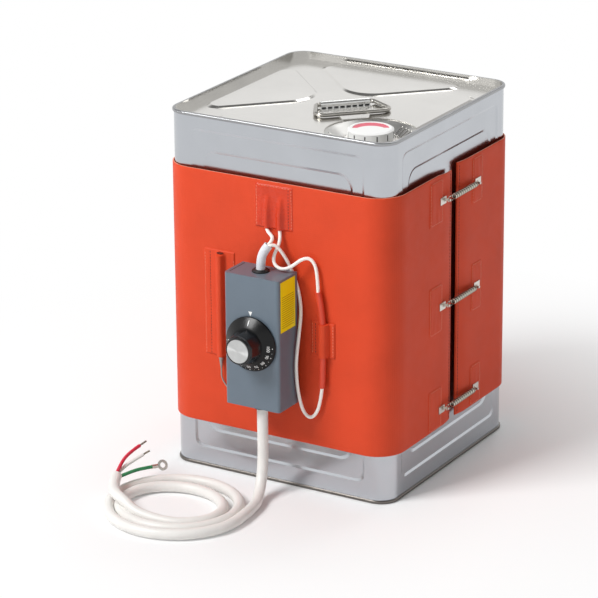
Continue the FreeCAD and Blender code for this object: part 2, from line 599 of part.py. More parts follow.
def make_dial_knob():
    """The dial: a flat rim, a cone for the scale and a grip with flat faces."""
    back = CASE_FRONT - SKIRT_GAP
    cone_end = SKIRT_RIM + CONE_RISE
    profile = [(0, 0), (SKIRT_RADIUS, 0), (SKIRT_RADIUS, SKIRT_RIM)]
    profile += [(CONE_TOP_RADIUS, cone_end), (0, cone_end)]
    knob = turned(profile, V(0, 0, 0), Z_AXIS)
    rings = []
    for radius, level in ((GRIP_BASE_RADIUS, cone_end - 0.5), (GRIP_END_RADIUS, cone_end + GRIP_LENGTH)):
        corners = []
        for index in range(GRIP_FACES):
            angle = 2 * math.pi * index / GRIP_FACES
            corners.append(V(radius * math.cos(angle), radius * math.sin(angle), level))
        rings.append(Part.makePolygon(corners + corners[:1]))
    knob = knob.fuse(Part.makeLoft(rings, True, True))
    end = cone_end + GRIP_LENGTH
    knob = knob.fuse(Part.makeCylinder(COLLAR_RADIUS, COLLAR_LENGTH + 0.5, V(0, 0, end - 0.5)))
    knob = knob.cut(Part.makeCylinder(DISC_RADIUS + SHAFT_FIT, 5, V(0, 0, end + COLLAR_LENGTH - DISC_SINK)))
    knob = knob.cut(Part.makeCylinder(SHAFT_RADIUS + SHAFT_FIT, SHAFT_IN_KNOB + 1, V(0, 0, -1)))
    knob.Placement = FreeCAD.Placement(V(CASE_X, back, DIAL_HEIGHT), FreeCAD.Rotation(Z_AXIS, -Y_AXIS))
    return knob


def make_dial_disc():
    """The turned aluminium disc in the end of the grip."""
    reach = SKIRT_GAP + SKIRT_RIM + CONE_RISE + GRIP_LENGTH + COLLAR_LENGTH - DISC_SINK
    start = V(CASE_X, CASE_FRONT - reach, DIAL_HEIGHT)
    return rod(DISC_RADIUS, start, start - Y_AXIS * DISC_THICKNESS)


def make_regulator():
    """The regulator behind the dial, with the bush that carries the dial's shaft."""
    inside = CASE_FRONT + CASE_SHEET
    body = box(
        (CASE_X - REGULATOR_WIDTH / 2, inside, DIAL_HEIGHT - REGULATOR_HEIGHT / 2),
        (CASE_X + REGULATOR_WIDTH / 2, inside + REGULATOR_DEPTH, DIAL_HEIGHT + REGULATOR_HEIGHT / 2))
    front = V(CASE_X, CASE_FRONT - BUSH_RISE, DIAL_HEIGHT)
    body = body.fuse(rod(BUSH_RADIUS, front, V(CASE_X, inside + 1, DIAL_HEIGHT)))
    bore_end = V(CASE_X, inside + SHAFT_IN_REGULATOR + 1, DIAL_HEIGHT)
    return body.cut(rod(SHAFT_RADIUS + SHAFT_PLAY, front - Y_AXIS, bore_end))


def make_dial_shaft():
    """The shaft that turns with the dial in the regulator's bush."""
    outer = V(CASE_X, CASE_FRONT - SKIRT_GAP - SHAFT_IN_KNOB, DIAL_HEIGHT)
    inner = V(CASE_X, CASE_FRONT + CASE_SHEET + SHAFT_IN_REGULATOR, DIAL_HEIGHT)
    return rod(SHAFT_RADIUS, outer, inner)


# Cords, leads and the sensor

def braid_point(along, height, spread=0.0):
    """A point of the braided sleeve's bend: its distance from the grommet, height and offset sideways."""
    return (GROMMET_X + 0.8 * along - 0.6 * spread, GROMMET_Y + 0.6 * along + 0.8 * spread, height)


def braid_route(spread=0.0):
    """The braided sleeve's own route, or the route of a lead inside it."""
    return [braid_point(along, height, spread) for along, height in BRAID_BEND]


FUSE_ROUTE = [
    (49.2, -126.6, 201.0), (FUSE_X, FUSE_Y, 178.0), (FUSE_X, FUSE_Y, 132.0), (53.0, -126.6, 108.5),
]
LEAD_A_ROUTE = [
    (LEAD_X_LEFT, LEAD_Y, LEAD_PATCH[2]), (-4.4, -125.6, 250.0), (0.6, -128.4, 248.8),
    (4.5, -131.9, 247.4), (5.2, -135.2, 245.3),
]
LEAD_B_ROUTE = [
    (LEAD_X_RIGHT, LEAD_Y, LEAD_PATCH[2]), (9.4, -126.4, 246.5), (9.6, -130.4, 240.0),
    (7.8, -134.6, 233.4), (8.2, -137.4, 226.8), (13.0, -138.4, 222.2), (20.0, -137.8, 221.4),
    (27.0, -134.6, 224.8), (33.4, -130.8, 231.0), (39.8, -127.2, 233.0), (45.4, -125.8, 228.0),
    (48.4, -126.2, 216.0), FUSE_ROUTE[0],
]
LEAD_C_ROUTE = [
    (9.8, -136.4, 243.0), (14.4, -133.4, 237.0), (18.6, -129.0, 226.4), (22.0, -126.0, 215.0),
    (27.0, -124.6, 200.0), (31.2, -126.2, 181.0), (31.6, -131.6, 158.0), (30.8, -136.2, 134.0),
    (30.8, -134.8, 111.0), (31.4, -131.0, 94.0), (33.4, -128.0, 81.6), (38.8, -126.2, 75.4),
    (45.0, -125.8, 79.4), (50.4, -126.0, 91.4), FUSE_ROUTE[3],
]
CAPILLARY_ROUTE = [
    (SENSOR_X, SENSOR_Y, SENSOR_BOTTOM - SENSOR_TAPER), (SENSOR_X, SENSOR_Y, 97.0),
    (-51.0, -125.0, 88.0), (-41.0, -125.2, 83.2), (-30.0, -125.2, 84.2), (-21.0, -125.4, 90.8),
    (-16.0, -125.6, 101.0), (CAPILLARY_HOLE_X, -125.8, 114.0), (CAPILLARY_HOLE_X, -127.6, 125.0),
    (CAPILLARY_HOLE_X, -132.4, 133.0), (CAPILLARY_HOLE_X, REGULATOR_REAR, 137.0),
]

CORD_DROP_ROUTE = [
    (GLAND_X, GLAND_Y, CASE_BOTTOM + CASE_SHEET + GLAND_NUT), (GLAND_X, GLAND_Y, 66.0),
    (0.8, -146.8, 37.0), (2.4, -151.6, 21.6), (5.8, -160.9, 10.6), (10.3, -173.0, 5.2),
    (16.2, -187.4, 5.2),
]
CORD_TAIL_ROUTE = [
    (-83.0, -256.0, 15.7), (-96.5, -249.0, 16.4), (-108.0, -236.0, 17.4), (-115.0, -219.6, 19.4),
]
RED_ROUTE = [(-115.0, -219.5, 21.6), (-119.0, -206.0, 26.4), (-120.2, -190.5, 31.0), (-117.6, -176.0, 33.8)]
WHITE_ROUTE = [(-116.9, -220.0, 18.3), (-118.2, -207.0, 21.0), (-114.6, -194.0, 25.2), (-109.4, -182.6, 28.8)]
GREEN_ROUTE = [(-113.4, -218.5, 18.3), (-109.6, -206.5, 19.2), (-105.4, -194.5, 19.4), (-99.6, -183.6, 18.6)]


def make_sensor_bulb():
    """The sensor bulb, drawn down to its capillary at the lower end."""
    low = SENSOR_BOTTOM - SENSOR_TAPER
    taper = Part.makeCone(CAPILLARY_DIAMETER / 2, SENSOR_RADIUS, SENSOR_TAPER, V(SENSOR_X, SENSOR_Y, low))
    foot = V(SENSOR_X, SENSOR_Y, SENSOR_BOTTOM)
    return taper.fuse(rod(SENSOR_RADIUS, foot, V(SENSOR_X, SENSOR_Y, SENSOR_TOP)))


def make_braided_sleeve():
    """The hollow braided sleeve over the two leads that go into the case."""
    outer = cord("braided_sleeve", braid_route(), BRAID_DIAMETER)
    return outer.cut(cord("braided_sleeve_bore", braid_route(), BRAID_BORE))


def make_cord_coil():
    """The outer shape of the power cord's loops on the floor."""
    def ellipse(centre, half_width, half_depth):
        curve = Part.Ellipse(V(centre[0], centre[1], 0), half_width, half_depth)
        return Part.Face(Part.Wire(curve.toShape())).extrude(V(0, 0, CORD_DIAMETER))
    outer = ellipse(COIL_CENTRE, COIL_HALF_WIDTH, COIL_HALF_DEPTH)
    return outer.cut(ellipse(COIL_HOLE_CENTRE, COIL_HOLE_HALF_WIDTH, COIL_HOLE_HALF_DEPTH))


def beyond(route, length):
    """The end of a route and a point further on in the same direction."""
    end = V(*route[-1])
    heading = (end - V(*route[-2])).normalize()
    return end, end + heading * length


def make_ring_terminal():
    """The crimped ring terminal on the earth core."""
    start, end = beyond(GREEN_ROUTE, BARREL_LENGTH)
    heading = (end - start).normalize()
    barrel = rod(BARREL_RADIUS, start, end)
    middle = end + heading * (TERMINAL_OUTER + 0.6)
    level = heading.cross(Z_AXIS).normalize()
    upright = level.cross(heading).normalize()
    roll = math.radians(TERMINAL_ROLL)
    normal = upright * math.cos(roll) + level * math.sin(roll)
    across = heading.cross(normal).normalize()
    low = middle - normal * (TERMINAL_SHEET / 2)
    ring = Part.makeCylinder(TERMINAL_OUTER, TERMINAL_SHEET, low, normal)
    corners = [end + across * 1.6, end - across * 1.6, middle - across * 3.4, middle + across * 3.4]
    outline = [point - normal * (TERMINAL_SHEET / 2) for point in corners + corners[:1]]
    neck = Part.Face(Part.makePolygon(outline))
    terminal = barrel.fuse(ring).fuse(neck.extrude(normal * TERMINAL_SHEET))
    hole = Part.makeCylinder(TERMINAL_HOLE, TERMINAL_SHEET + 2, low - normal, normal)
    print("terminal hole at %.3f %.3f %.3f" % tuple(middle), "along %.5f %.5f %.5f" % tuple(normal))
    return terminal.cut(hole).removeSplitter()


def save_cords():
    """The leads, the capillary, the power cord, its cores and what is on them."""
    save("lead_left", cord("lead_left", LEAD_A_ROUTE + braid_route(LEAD_SPREAD)[::-1], LEAD_DIAMETER))
    save("lead_right", cord("lead_right", LEAD_B_ROUTE, LEAD_DIAMETER))
    save("lead_return", cord("lead_return", braid_route(-LEAD_SPREAD) + LEAD_C_ROUTE, LEAD_DIAMETER))
    save("braided_sleeve", make_braided_sleeve())
    save("fuse_sleeve", cord("fuse_sleeve", FUSE_ROUTE, FUSE_SLEEVE))
    save("capillary", cord("capillary", CAPILLARY_ROUTE, CAPILLARY_DIAMETER))
    save("cord_drop", cord("cord_drop", CORD_DROP_ROUTE, CORD_DIAMETER))
    save("cord_coil", make_cord_coil())
    save("cord_tail", cord("cord_tail", CORD_TAIL_ROUTE, CORD_DIAMETER))
    for colour, route in (("red", RED_ROUTE), ("white", WHITE_ROUTE), ("green", GREEN_ROUTE)):
        save("core_" + colour, cord("core_" + colour, route, CORE_DIAMETER))
    save("conductor_red", rod(CONDUCTOR_DIAMETER / 2, *beyond(RED_ROUTE, 9.0)))
    save("conductor_white", rod(CONDUCTOR_DIAMETER / 2, *beyond(WHITE_ROUTE, 7.5)))
    save("ring_terminal", make_ring_terminal())


def main():
    """Write every piece."""
    save_can()
    save("spout_ring", make_spout_ring())
    save("spout_cap", make_spout_cap())
    save("bail", make_bail())
    save("bail_strap", make_bail_strap())
    save("heater_band", make_heater_band())
    save("lead_patch", make_lead_patch())
    save("sensor_pocket", make_sensor_pocket())
    save("fuse_loop", make_fuse_loop())
    save_springs()
    save("case_cover", make_case_cover())
    save("case_frame", make_case_frame())
    save("rating_plate", make_rating_plate())
    for place, height in FOOT_HEIGHTS.items():
        save("foot_" + place, rod(FOOT_RADIUS, V(CASE_X, CASE_REAR, height), V(CASE_X, BAND_FRONT, height)))
    save("lead_grommet", make_grommet())
    save("cord_gland", make_cord_gland())
    save("dial_knob", make_dial_knob())
    save("dial_disc", make_dial_disc())
    save("dial_shaft", make_dial_shaft())
    save("regulator", make_regulator())
    save("sensor_bulb", make_sensor_bulb())
    save_cords()


main()
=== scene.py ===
import logging
import math
from dataclasses import dataclass, field
from enum import Enum
from functools import cache
from typing import Any, Callable, Sequence

import bmesh
import bpy
from mathutils import Matrix, Vector, noise


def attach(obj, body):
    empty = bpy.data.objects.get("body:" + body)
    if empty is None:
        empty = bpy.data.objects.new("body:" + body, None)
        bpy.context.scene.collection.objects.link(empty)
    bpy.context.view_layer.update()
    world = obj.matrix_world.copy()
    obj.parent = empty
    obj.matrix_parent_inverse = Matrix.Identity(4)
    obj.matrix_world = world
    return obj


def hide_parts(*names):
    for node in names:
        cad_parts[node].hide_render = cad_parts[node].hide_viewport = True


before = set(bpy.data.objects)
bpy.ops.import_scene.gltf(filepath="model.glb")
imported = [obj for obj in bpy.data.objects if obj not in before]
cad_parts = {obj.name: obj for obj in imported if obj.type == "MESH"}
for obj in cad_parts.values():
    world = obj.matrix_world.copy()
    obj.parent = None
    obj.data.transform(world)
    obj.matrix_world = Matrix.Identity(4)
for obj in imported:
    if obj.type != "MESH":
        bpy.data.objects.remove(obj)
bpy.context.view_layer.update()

# A square tinplate can with a sprung band heater round it. Blender works in metres; sizes are in
# millimetres unless a name or docstring says otherwise, in the same axes as the frame.

MM = 0.001
LOG = logging.getLogger("can_heater")
Point = tuple[float, float, float]
Pair = tuple[float, float]
Piece = bpy.types.Object
Tree = bpy.types.NodeTree
Bead = tuple[Vector, Vector, float]
Socket = bpy.types.NodeSocket


# Small tools

def linear(code: str) -> tuple[float, float, float, float]:
    """Turn an sRGB hex colour into a linear colour.

    Args:
        code: A colour such as "#e0502f".

    Returns:
        Linear red, green and blue with an alpha of one.
    """
    channels = [int(code[start:start + 2], 16) / 255 for start in (1, 3, 5)]
    red, green, blue = (c / 12.92 if c <= 0.04045 else ((c + 0.055) / 1.055) ** 2.4 for c in channels)
    return red, green, blue, 1.0


def add_node(tree: Tree, kind: str, inputs: dict[Any, Any] | None = None, **settings: Any) -> bpy.types.Node:
    """Add one shader node with its settings and links.

    Args:
        tree: The node tree that gets it.
        kind: The node's type name.
        inputs: Input names or numbers, each with a value, or with an output socket to link.
        settings: The node's own properties.

    Returns:
        The new node.
    """
    node = tree.nodes.new(kind)
    for key, value in settings.items():
        setattr(node, key, value)
    for key, value in (inputs or {}).items():
        if isinstance(value, Socket):
            tree.links.new(value, node.inputs[key])
        else:
            node.inputs[key].default_value = value
    return node


def metres(points: Sequence[Point]) -> list[Vector]:
    """Turn points in millimetres into vectors in metres."""
    return [Vector(point) * MM for point in points]


def shift(place: Point) -> Matrix:
    """Move to a place in millimetres."""
    return Matrix.Translation(Vector(place) * MM)


def direction(degrees: float) -> Vector:
    """Point along a bearing, counted from +X towards +Y."""
    return Vector((math.cos(math.radians(degrees)), math.sin(math.radians(degrees)), 0))


def clamp(share: float) -> float:
    """Keep a share between zero and one."""
    return max(0.0, min(1.0, share))


def rectangle(left: float, right: float, near: float, far: float) -> list[Pair]:
    """The corners of a rectangle."""
    return [(left, near), (right, near), (right, far), (left, far)]


def add_object(name: str, data: bpy.types.ID) -> Piece:
    """Put data in the scene as an object."""
    obj = bpy.data.objects.new(name, data)
    bpy.context.scene.collection.objects.link(obj)
    return obj


def empty_tree(owner: bpy.types.Material | bpy.types.World) -> Tree:
    """Empty the node tree of a material or a world."""
    owner.use_nodes = True
    owner.node_tree.nodes.clear()
    return owner.node_tree


def new_mesh(name: str, vertices: Sequence[Vector], faces: Sequence[Sequence[int]],
             uvs: Sequence[Pair] | None = None) -> Piece:
    """Make a smooth shaded mesh object.

    Args:
        name: The object's name.
        vertices: Places in metres.
        faces: Vertex numbers of each face.
        uvs: One texture place per vertex, in metres.

    Returns:
        The new object, in the scene.
    """
    mesh = bpy.data.meshes.new(name)
    mesh.from_pydata([tuple(v) for v in vertices], [], [tuple(f) for f in faces])
    if uvs is not None:
        layer = mesh.uv_layers.new(name="surface")
        for loop in mesh.loops:
            layer.data[loop.index].uv = uvs[loop.vertex_index]
    mesh.polygons.foreach_set("use_smooth", [True] * len(mesh.polygons))
    return add_object(name, mesh)


def tidy_mesh(obj: Piece, crease: float = 40.0) -> Piece:
    """Turn a mesh's faces outwards and keep its sharp edges sharp.

    Args:
        obj: The mesh object.
        crease: Edges that turn by more than this many degrees stay sharp.

    Returns:
        The same object.
    """
    work = bmesh.new()
    work.from_mesh(obj.data)
    bmesh.ops.recalc_face_normals(work, faces=work.faces)
    work.to_mesh(obj.data)
    work.free()
    obj.data.set_sharp_from_angle(angle=math.radians(crease))
    return obj


def tube_faces(first: int, rings: int, sides: int) -> list[Sequence[int]]:
    """Number the faces of a capped tube.

    Args:
        first: The number of its first vertex.
        rings: How many rings of vertices it has.
        sides: How many vertices a ring has.

    Returns:
        The faces between the rings, then the two caps.
    """
    faces: list[Sequence[int]] = []
    for start in range(first, first + (rings - 1) * sides, sides):
        for side in range(sides):
            a, b = start + side, start + (side + 1) % sides
            faces.append((a, b, b + sides, a + sides))
    last = first + (rings - 1) * sides
    return faces + [range(first + sides - 1, first - 1, -1), range(last, last + sides)]


def tube(name: str, path: Sequence[Vector], radius: float, sides: int) -> Piece:
    """Make a capped tube along a path, with texture places in metres.

    Args:
        name: The object's name.
        path: The centre line in metres.
        radius: The tube's radius in metres.
        sides: Faces round the tube.

    Returns:
        The tube.
    """
    vertices: list[Vector] = []
    uvs: list[Pair] = []
    tangent = (path[1] - path[0]).normalized()
    across = tangent.orthogonal().normalized()
    travelled = 0.0
    for index, centre in enumerate(path):
        before, after = path[max(index - 1, 0)], path[min(index + 1, len(path) - 1)]
        heading = (after - before).normalized()
        across = (tangent.rotation_difference(heading) @ across).normalized()
        tangent = heading
        other = tangent.cross(across)
        travelled += (centre - before).length
        for side in range(sides):
            angle = math.tau * side / sides
            vertices.append(centre + (across * math.cos(angle) + other * math.sin(angle)) * radius)
            uvs.append((math.tau * radius * side / sides, travelled))
    return new_mesh(name, vertices, tube_faces(0, len(path), sides), uvs)


def turned(name: str, profile: Sequence[Pair], sides: int, place: Matrix) -> Piece:
    """Turn a profile about the Z axis.

    Args:
        name: The object's name.
        profile: Radius and height pairs in millimetres; a radius of zero closes the end.
        sides: Faces round the axis.
        place: Where the turned shape goes, in metres.

    Returns:
        The turned object.
    """
    vertices: list[Vector] = []
    rings: list[range] = []
    for radius, height in profile:
        count = 1 if radius == 0 else sides
        rings.append(range(len(vertices), len(vertices) + count))
        for side in range(count):
            angle = math.tau * side / sides
            vertices.append(place @ (Vector((radius * math.cos(angle), radius * math.sin(angle), height)) * MM))
    faces: list[Sequence[int]] = []
    for low, high in zip(rings, rings[1:]):
        for side in range(sides):
            after = (side + 1) % sides
            corners = [low[side % len(low)], low[after % len(low)], high[after % len(high)], high[side % len(high)]]
            faces.append(list(dict.fromkeys(corners)))
    return tidy_mesh(new_mesh(name, vertices, faces))


def prisms(name: str, outlines: Sequence[Sequence[Pair]], low: float, high: float, place: Matrix) -> Piece:
    """Make small upright prisms over flat outlines, as one mesh.

    Args:
        name: The object's name.
        outlines: Each prism's corners in millimetres.
        low: The level of their feet in millimetres.
        high: The level of their tops in millimetres.
        place: Where they go, in metres.

    Returns:
        The prisms.
    """
    vertices: list[Vector] = []
    faces: list[Sequence[int]] = []
    for outline in outlines:
        first, count = len(vertices), len(outline)
        vertices += [place @ (Vector((x, y, z)) * MM) for z in (low, high) for x, y in outline]
        faces += tube_faces(first, 2, count)
    return tidy_mesh(new_mesh(name, vertices, faces))


def join(pieces: Sequence[Piece]) -> Piece:
    """Join mesh objects into the first of them."""
    work = bmesh.new()
    for piece in pieces:
        work.from_mesh(piece.data)
    work.to_mesh(pieces[0].data)
    work.free()
    for piece in pieces[1:]:
        bpy.data.objects.remove(piece)
    return pieces[0]


def spline_cord(name: str, points: Sequence[Vector], diameter: float) -> Piece:
    """Make a round cord on one smooth NURBS spline.

    Args:
        name: The object's name.
        points: The route's control points in metres.
        diameter: The cord's diameter in millimetres.

    Returns:
        The curve object.
    """
    curve = bpy.data.curves.new(name, "CURVE")
    curve.dimensions = "3D"
    curve.bevel_depth = diameter * MM / 2
    curve.bevel_resolution = 6
    curve.resolution_u = 10
    curve.use_fill_caps = True
    spline = curve.splines.new("NURBS")
    spline.points.add(len(points) - 1)
    for point, place in zip(spline.points, points):
        point.co = (*place, 1.0)
    spline.order_u = 3
    spline.use_endpoint_u = True
    return add_object(name, curve)


def spline_points(cord: Piece) -> list[Vector]:
    """Read the points along a cord's smooth centre line."""
    line = cord.data.copy()
    line.bevel_depth = 0.0
    carrier = bpy.data.objects.new("line", line)
    mesh = bpy.data.meshes.new_from_object(carrier)
    places = [vertex.co.copy() for vertex in mesh.vertices]
    bpy.data.objects.remove(carrier)
    bpy.data.meshes.remove(mesh)
    bpy.data.curves.remove(line)
    return places


def spline_length(cord: Piece) -> float:
    """Measure a cord's centre line in metres."""
    places = spline_points(cord)
    return sum((b - a).length for a, b in zip(places, places[1:]))


class Body(Enum):
    """The frame's bodies that pieces are put on. The handle's one piece is its own CAD node."""

    HEATER = "heater"
    DIAL = "dial"


def ride(obj: Piece, body: Body) -> Piece:
    """Let a piece move with a body."""
    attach(obj, body.value)
    return obj


# Finishes

@dataclass(frozen=True)
class Surface:
    """A material that is being built: its node tree and its surface shader."""

    tree: Tree
    shader: bpy.types.Node

    def add(self, kind: str, inputs: dict[Any, Any] | None = None, output: int | str = 0, **settings: Any) -> Socket:
        """Add a node and give one of its outputs."""
        return add_node(self.tree, kind, inputs, **settings).outputs[output]

    def drive(self, name: str, value: Socket) -> None:
        """Link a value to one of the shader's inputs."""
        self.tree.links.new(value, self.shader.inputs[name])

    def place(self) -> Socket:
        """The piece's own coordinates, in metres."""
        return self.add("ShaderNodeTexCoord", output="Object")

    def sewn_place(self) -> Socket:
        """The texture places along and across a cloth or a braid, in metres."""
        return self.add("ShaderNodeUVMap", uv_map="surface")

    def away(self, place: Socket, centre: Point) -> Socket:
        """A place as seen from a centre in millimetres."""
        return self.add("ShaderNodeVectorMath", {0: place, 1: tuple(Vector(centre) * MM)}, operation="SUBTRACT")

    def grain(self, place: Socket, size: float, detail: float = 3.0) -> Socket:
        """A noise with grains of a size in millimetres."""
        return self.add("ShaderNodeTexNoise", {"Vector": place, "Scale": 1 / (size * MM), "Detail": detail}, "Fac")

    def wave(self, place: Socket, pitch: float, inputs: dict[str, float] | None = None, **settings: Any) -> Socket:
        """Even bands or rings at a pitch in millimetres."""
        scale = math.tau / 20 / (pitch * MM)
        return self.add("ShaderNodeTexWave", {"Vector": place, "Scale": scale, **(inputs or {})}, "Fac", **settings)

    def maths(self, operation: str, *values: Socket | float) -> Socket:
        """Work out one Math node."""
        return self.add("ShaderNodeMath", dict(enumerate(values)), operation=operation)

    def blend(self, share: Socket, low: str, high: str) -> None:
        """Colour the surface with a blend of two colours."""
        inputs = {0: share, 6: linear(low), 7: linear(high)}
        self.drive("Base Color", self.add("ShaderNodeMix", inputs, 2, data_type="RGBA"))


@dataclass(frozen=True)
class Finish:
    """A finish: what a surface is made of, its colour and how it shines.

    `shine` is how far its roughness strays to each side, `bump` and `relief` are the strength and the depth
    in millimetres of its grain, and `drift` is how much darker its dark patches are.
    """

    name: str
    colour: str
    roughness: float
    metallic: float = 0.0
    specular: float = 0.5
    shine: Pair = (-0.06, 0.06)
    bump: float = 0.3
    relief: float = 0.02
    drift: float = 0.06

    @cache
    def build(self) -> bpy.types.Material:
        """Make the material, once for each finish."""
        material = bpy.data.materials.new(self.name)
        tree = empty_tree(material)
        shader = add_node(tree, "ShaderNodeBsdfPrincipled", {
            "Base Color": linear(self.colour), "Roughness": self.roughness, "Metallic": self.metallic,
            "Specular IOR Level": self.specular})
        self.texture(Surface(tree, shader))
        add_node(tree, "ShaderNodeOutputMaterial", {"Surface": shader.outputs[0]})
        material.diffuse_color = linear(self.colour)
        return material

    def texture(self, surface: Surface) -> None:
        """Add this finish's own detail to the surface."""

    def dress(self, obj: Piece) -> Piece:
        """Give a piece this finish all over."""
        obj.data.materials.clear()
        obj.data.materials.append(self.build())
        return obj

    def redress(self, obj: Piece, wanted: Callable[[Vector, Vector], bool]) -> None:
        """Give some faces of a piece this finish instead of their own.

        Args:
            obj: The mesh object.
            wanted: Picks a face by its middle in millimetres and its normal.
        """
        obj.data.materials.append(self.build())
        for face in obj.data.polygons:
            if wanted(obj.matrix_world @ face.center / MM, face.normal):
                face.material_index = len(obj.data.materials) - 1

    def mottle(self, surface: Surface, place: Socket, size: float) -> None:
        """Let the colour drift a little over the surface, in patches of a size in millimetres."""
        share = surface.add("ShaderNodeMapRange", {
            "Value": surface.grain(place, size), "From Min": 0.3, "From Max": 0.7, "To Min": 1 - self.drift})
        surface.drive("Base Color", surface.add(
            "ShaderNodeVectorMath", {0: linear(self.colour)[:3], "Scale": share}, operation="SCALE"))

    def roughen(self, surface: Surface, pattern: Socket) -> None:
        """Let a pattern vary the roughness."""
        low, high = (self.roughness + stray for stray in self.shine)
        surface.drive("Roughness", surface.add("ShaderNodeMapRange", {"Value": pattern, "To Min": low, "To Max": high}))

    def emboss(self, surface: Surface, height: Socket) -> None:
        """Raise the surface by a pattern."""
        surface.drive("Normal", surface.add(
            "ShaderNodeBump", {"Height": height, "Strength": self.bump, "Distance": self.relief * MM}))


@dataclass(frozen=True)
class RolledTinplate(Finish):
    """Steel sheet, cold rolled and tinned: fine straight rolling lines and a soft, pale mirror."""

    metallic: float = 1.0
    shine: Pair = (-0.04, 0.05)
    bump: float = 0.06
    drift: float = 0.07
    line_width: float = 0.7
    line_length: float = 60.0
    patch: float = 45.0

    def texture(self, surface: Surface) -> None:
        """Stretch a noise into rolling lines, for the bump and the roughness."""
        place = surface.place()
        long, fine = 1 / (self.line_length * MM), 1 / (self.line_width * MM)
        stretched = surface.add("ShaderNodeMapping", {"Vector": place, "Scale": (long, long, fine)})
        lines = surface.add("ShaderNodeTexNoise", {"Vector": stretched, "Scale": 1.0, "Detail": 2.0}, "Fac")
        self.roughen(surface, lines)
        self.emboss(surface, lines)
        self.mottle(surface, place, self.patch)


@dataclass(frozen=True)
class CoatedCloth(Finish):
    """Glass cloth coated with silicone rubber: a flat plain weave that shows through a satin skin."""

    shine: Pair = (-0.06, 0.1)
    bump: float = 0.5
    relief: float = 0.08
    drift: float = 0.08
    thread: float = 2.0
    slack: float = 9.0
    slack_share: float = 2.5
    patch: float = 38.0

    def texture(self, surface: Surface) -> None:
        """Cross two sets of threads on the cloth's own texture places.

        The real threads are about 0.6 mm apart; they are drawn three times as coarse so that they show.
        """
        sewn, body = surface.sewn_place(), surface.place()
        warp, weft = (surface.wave(sewn, self.thread, {"Distortion": 0.3}, bands_direction=way) for way in "XY")
        slack = surface.grain(body, self.slack, 2.0)
        self.emboss(surface, surface.maths("MULTIPLY_ADD", slack, self.slack_share, surface.maths("ADD", warp, weft)))
        self.roughen(surface, slack)
        self.mottle(surface, body, self.patch)


@dataclass(frozen=True)
class StovedPaint(Finish):
    """Stoved enamel paint on sheet steel: satin, with a very fine orange peel."""

    bump: float = 0.25
    relief: float = 0.03
    drift: float = 0.05
    peel: float = 0.9
    patch: float = 22.0

    def texture(self, surface: Surface) -> None:
        """Add the orange peel and a faint drift of tone."""
        place = surface.place()
        self.emboss(surface, surface.grain(place, self.peel, 1.0))
        self.mottle(surface, place, self.patch)


@dataclass(frozen=True)
class MouldedPlastic(Finish):
    """Moulded thermoplastic or rubber: even colour, with faint flow marks in the shine."""

    flow: float = 6.0

    def texture(self, surface: Surface) -> None:
        """Vary the shine along faint flow marks, and the tone in patches twice as large."""
        place = surface.place()
        self.roughen(surface, surface.grain(place, self.flow))
        self.mottle(surface, place, self.flow * 2)


@dataclass(frozen=True)
class DrawnMetal(Finish):
    """Drawn wire or pressed sheet: bright, with fine scratches."""

    metallic: float = 1.0
    shine: Pair = (-0.08, 0.1)
    drift: float = 0.12
    scratch: float = 0.5
    patch: float = 4.0

    def texture(self, surface: Surface) -> None:
        """Break the shine with fine scratches."""
        place = surface.place()
        self.roughen(surface, surface.grain(place, self.scratch))
        self.mottle(surface, place, self.patch)


@dataclass(frozen=True)
class WoundSpring(Finish):
    """Close wound spring wire along Y, with painted shade where each turn meets the next.

    The wire is 0.9 mm, too fine to show turn by turn, so its turns are drawn over four times as coarse.
    """

    metallic: float = 1.0
    turn: float = 3.9
    joint_shade: str = "#5a554a"

    def texture(self, surface: Surface) -> None:
        """Paint shade where the turns meet."""
        surface.blend(surface.wave(surface.place(), self.turn, bands_direction="Y"), self.joint_shade, self.colour)


@dataclass(frozen=True)
class TurnedFace(Finish):
    """A face cut on a lathe about an axis along Y: fine rings that draw the light into a fan."""

    drift: float = 0.08
    centre: Point = (0.0, 0.0, 0.0)
    ring: float = 0.45
    fan: float = 0.7
    patch: float = 7.0

    def texture(self, surface: Surface) -> None:
        """Cut rings round the axis and stretch the highlight across them."""
        place = surface.away(surface.place(), self.centre)
        self.emboss(surface, surface.wave(place, self.ring, {"Distortion": 0.4, "Detail": 1.0},
                                          wave_type="RINGS", rings_direction="Y"))
        surface.drive("Tangent", surface.add("ShaderNodeTangent", direction_type="RADIAL", axis="Y"))
        surface.shader.inputs["Anisotropic"].default_value = self.fan
        self.mottle(surface, place, self.patch)


@dataclass(frozen=True)
class GlassBraid(Finish):
    """Varnished glass fibre braid: two sets of slanting strands, with painted shade in the hollows between them."""

    bump: float = 0.7
    relief: float = 0.15
    strand: float = 1.0
    slant: float = 45.0
    # The colour of the painted shade in the hollows between the strands.
    hollow: str = "#b9bcc4"

    def texture(self, surface: Surface) -> None:
        """Cross two slanting sets of strands on the tube's own texture places, and paint shade in the hollows between
        them.
        """
        place = surface.sewn_place()
        strands = []
        for slant in (self.slant, -self.slant):
            across = surface.add("ShaderNodeMapping", {"Vector": place, "Rotation": (0, 0, math.radians(slant))})
            strands.append(surface.wave(across, self.strand, bands_direction="X"))
        braid = surface.maths("MAXIMUM", *strands)
        self.emboss(surface, braid)
        surface.blend(braid, self.hollow, self.colour)


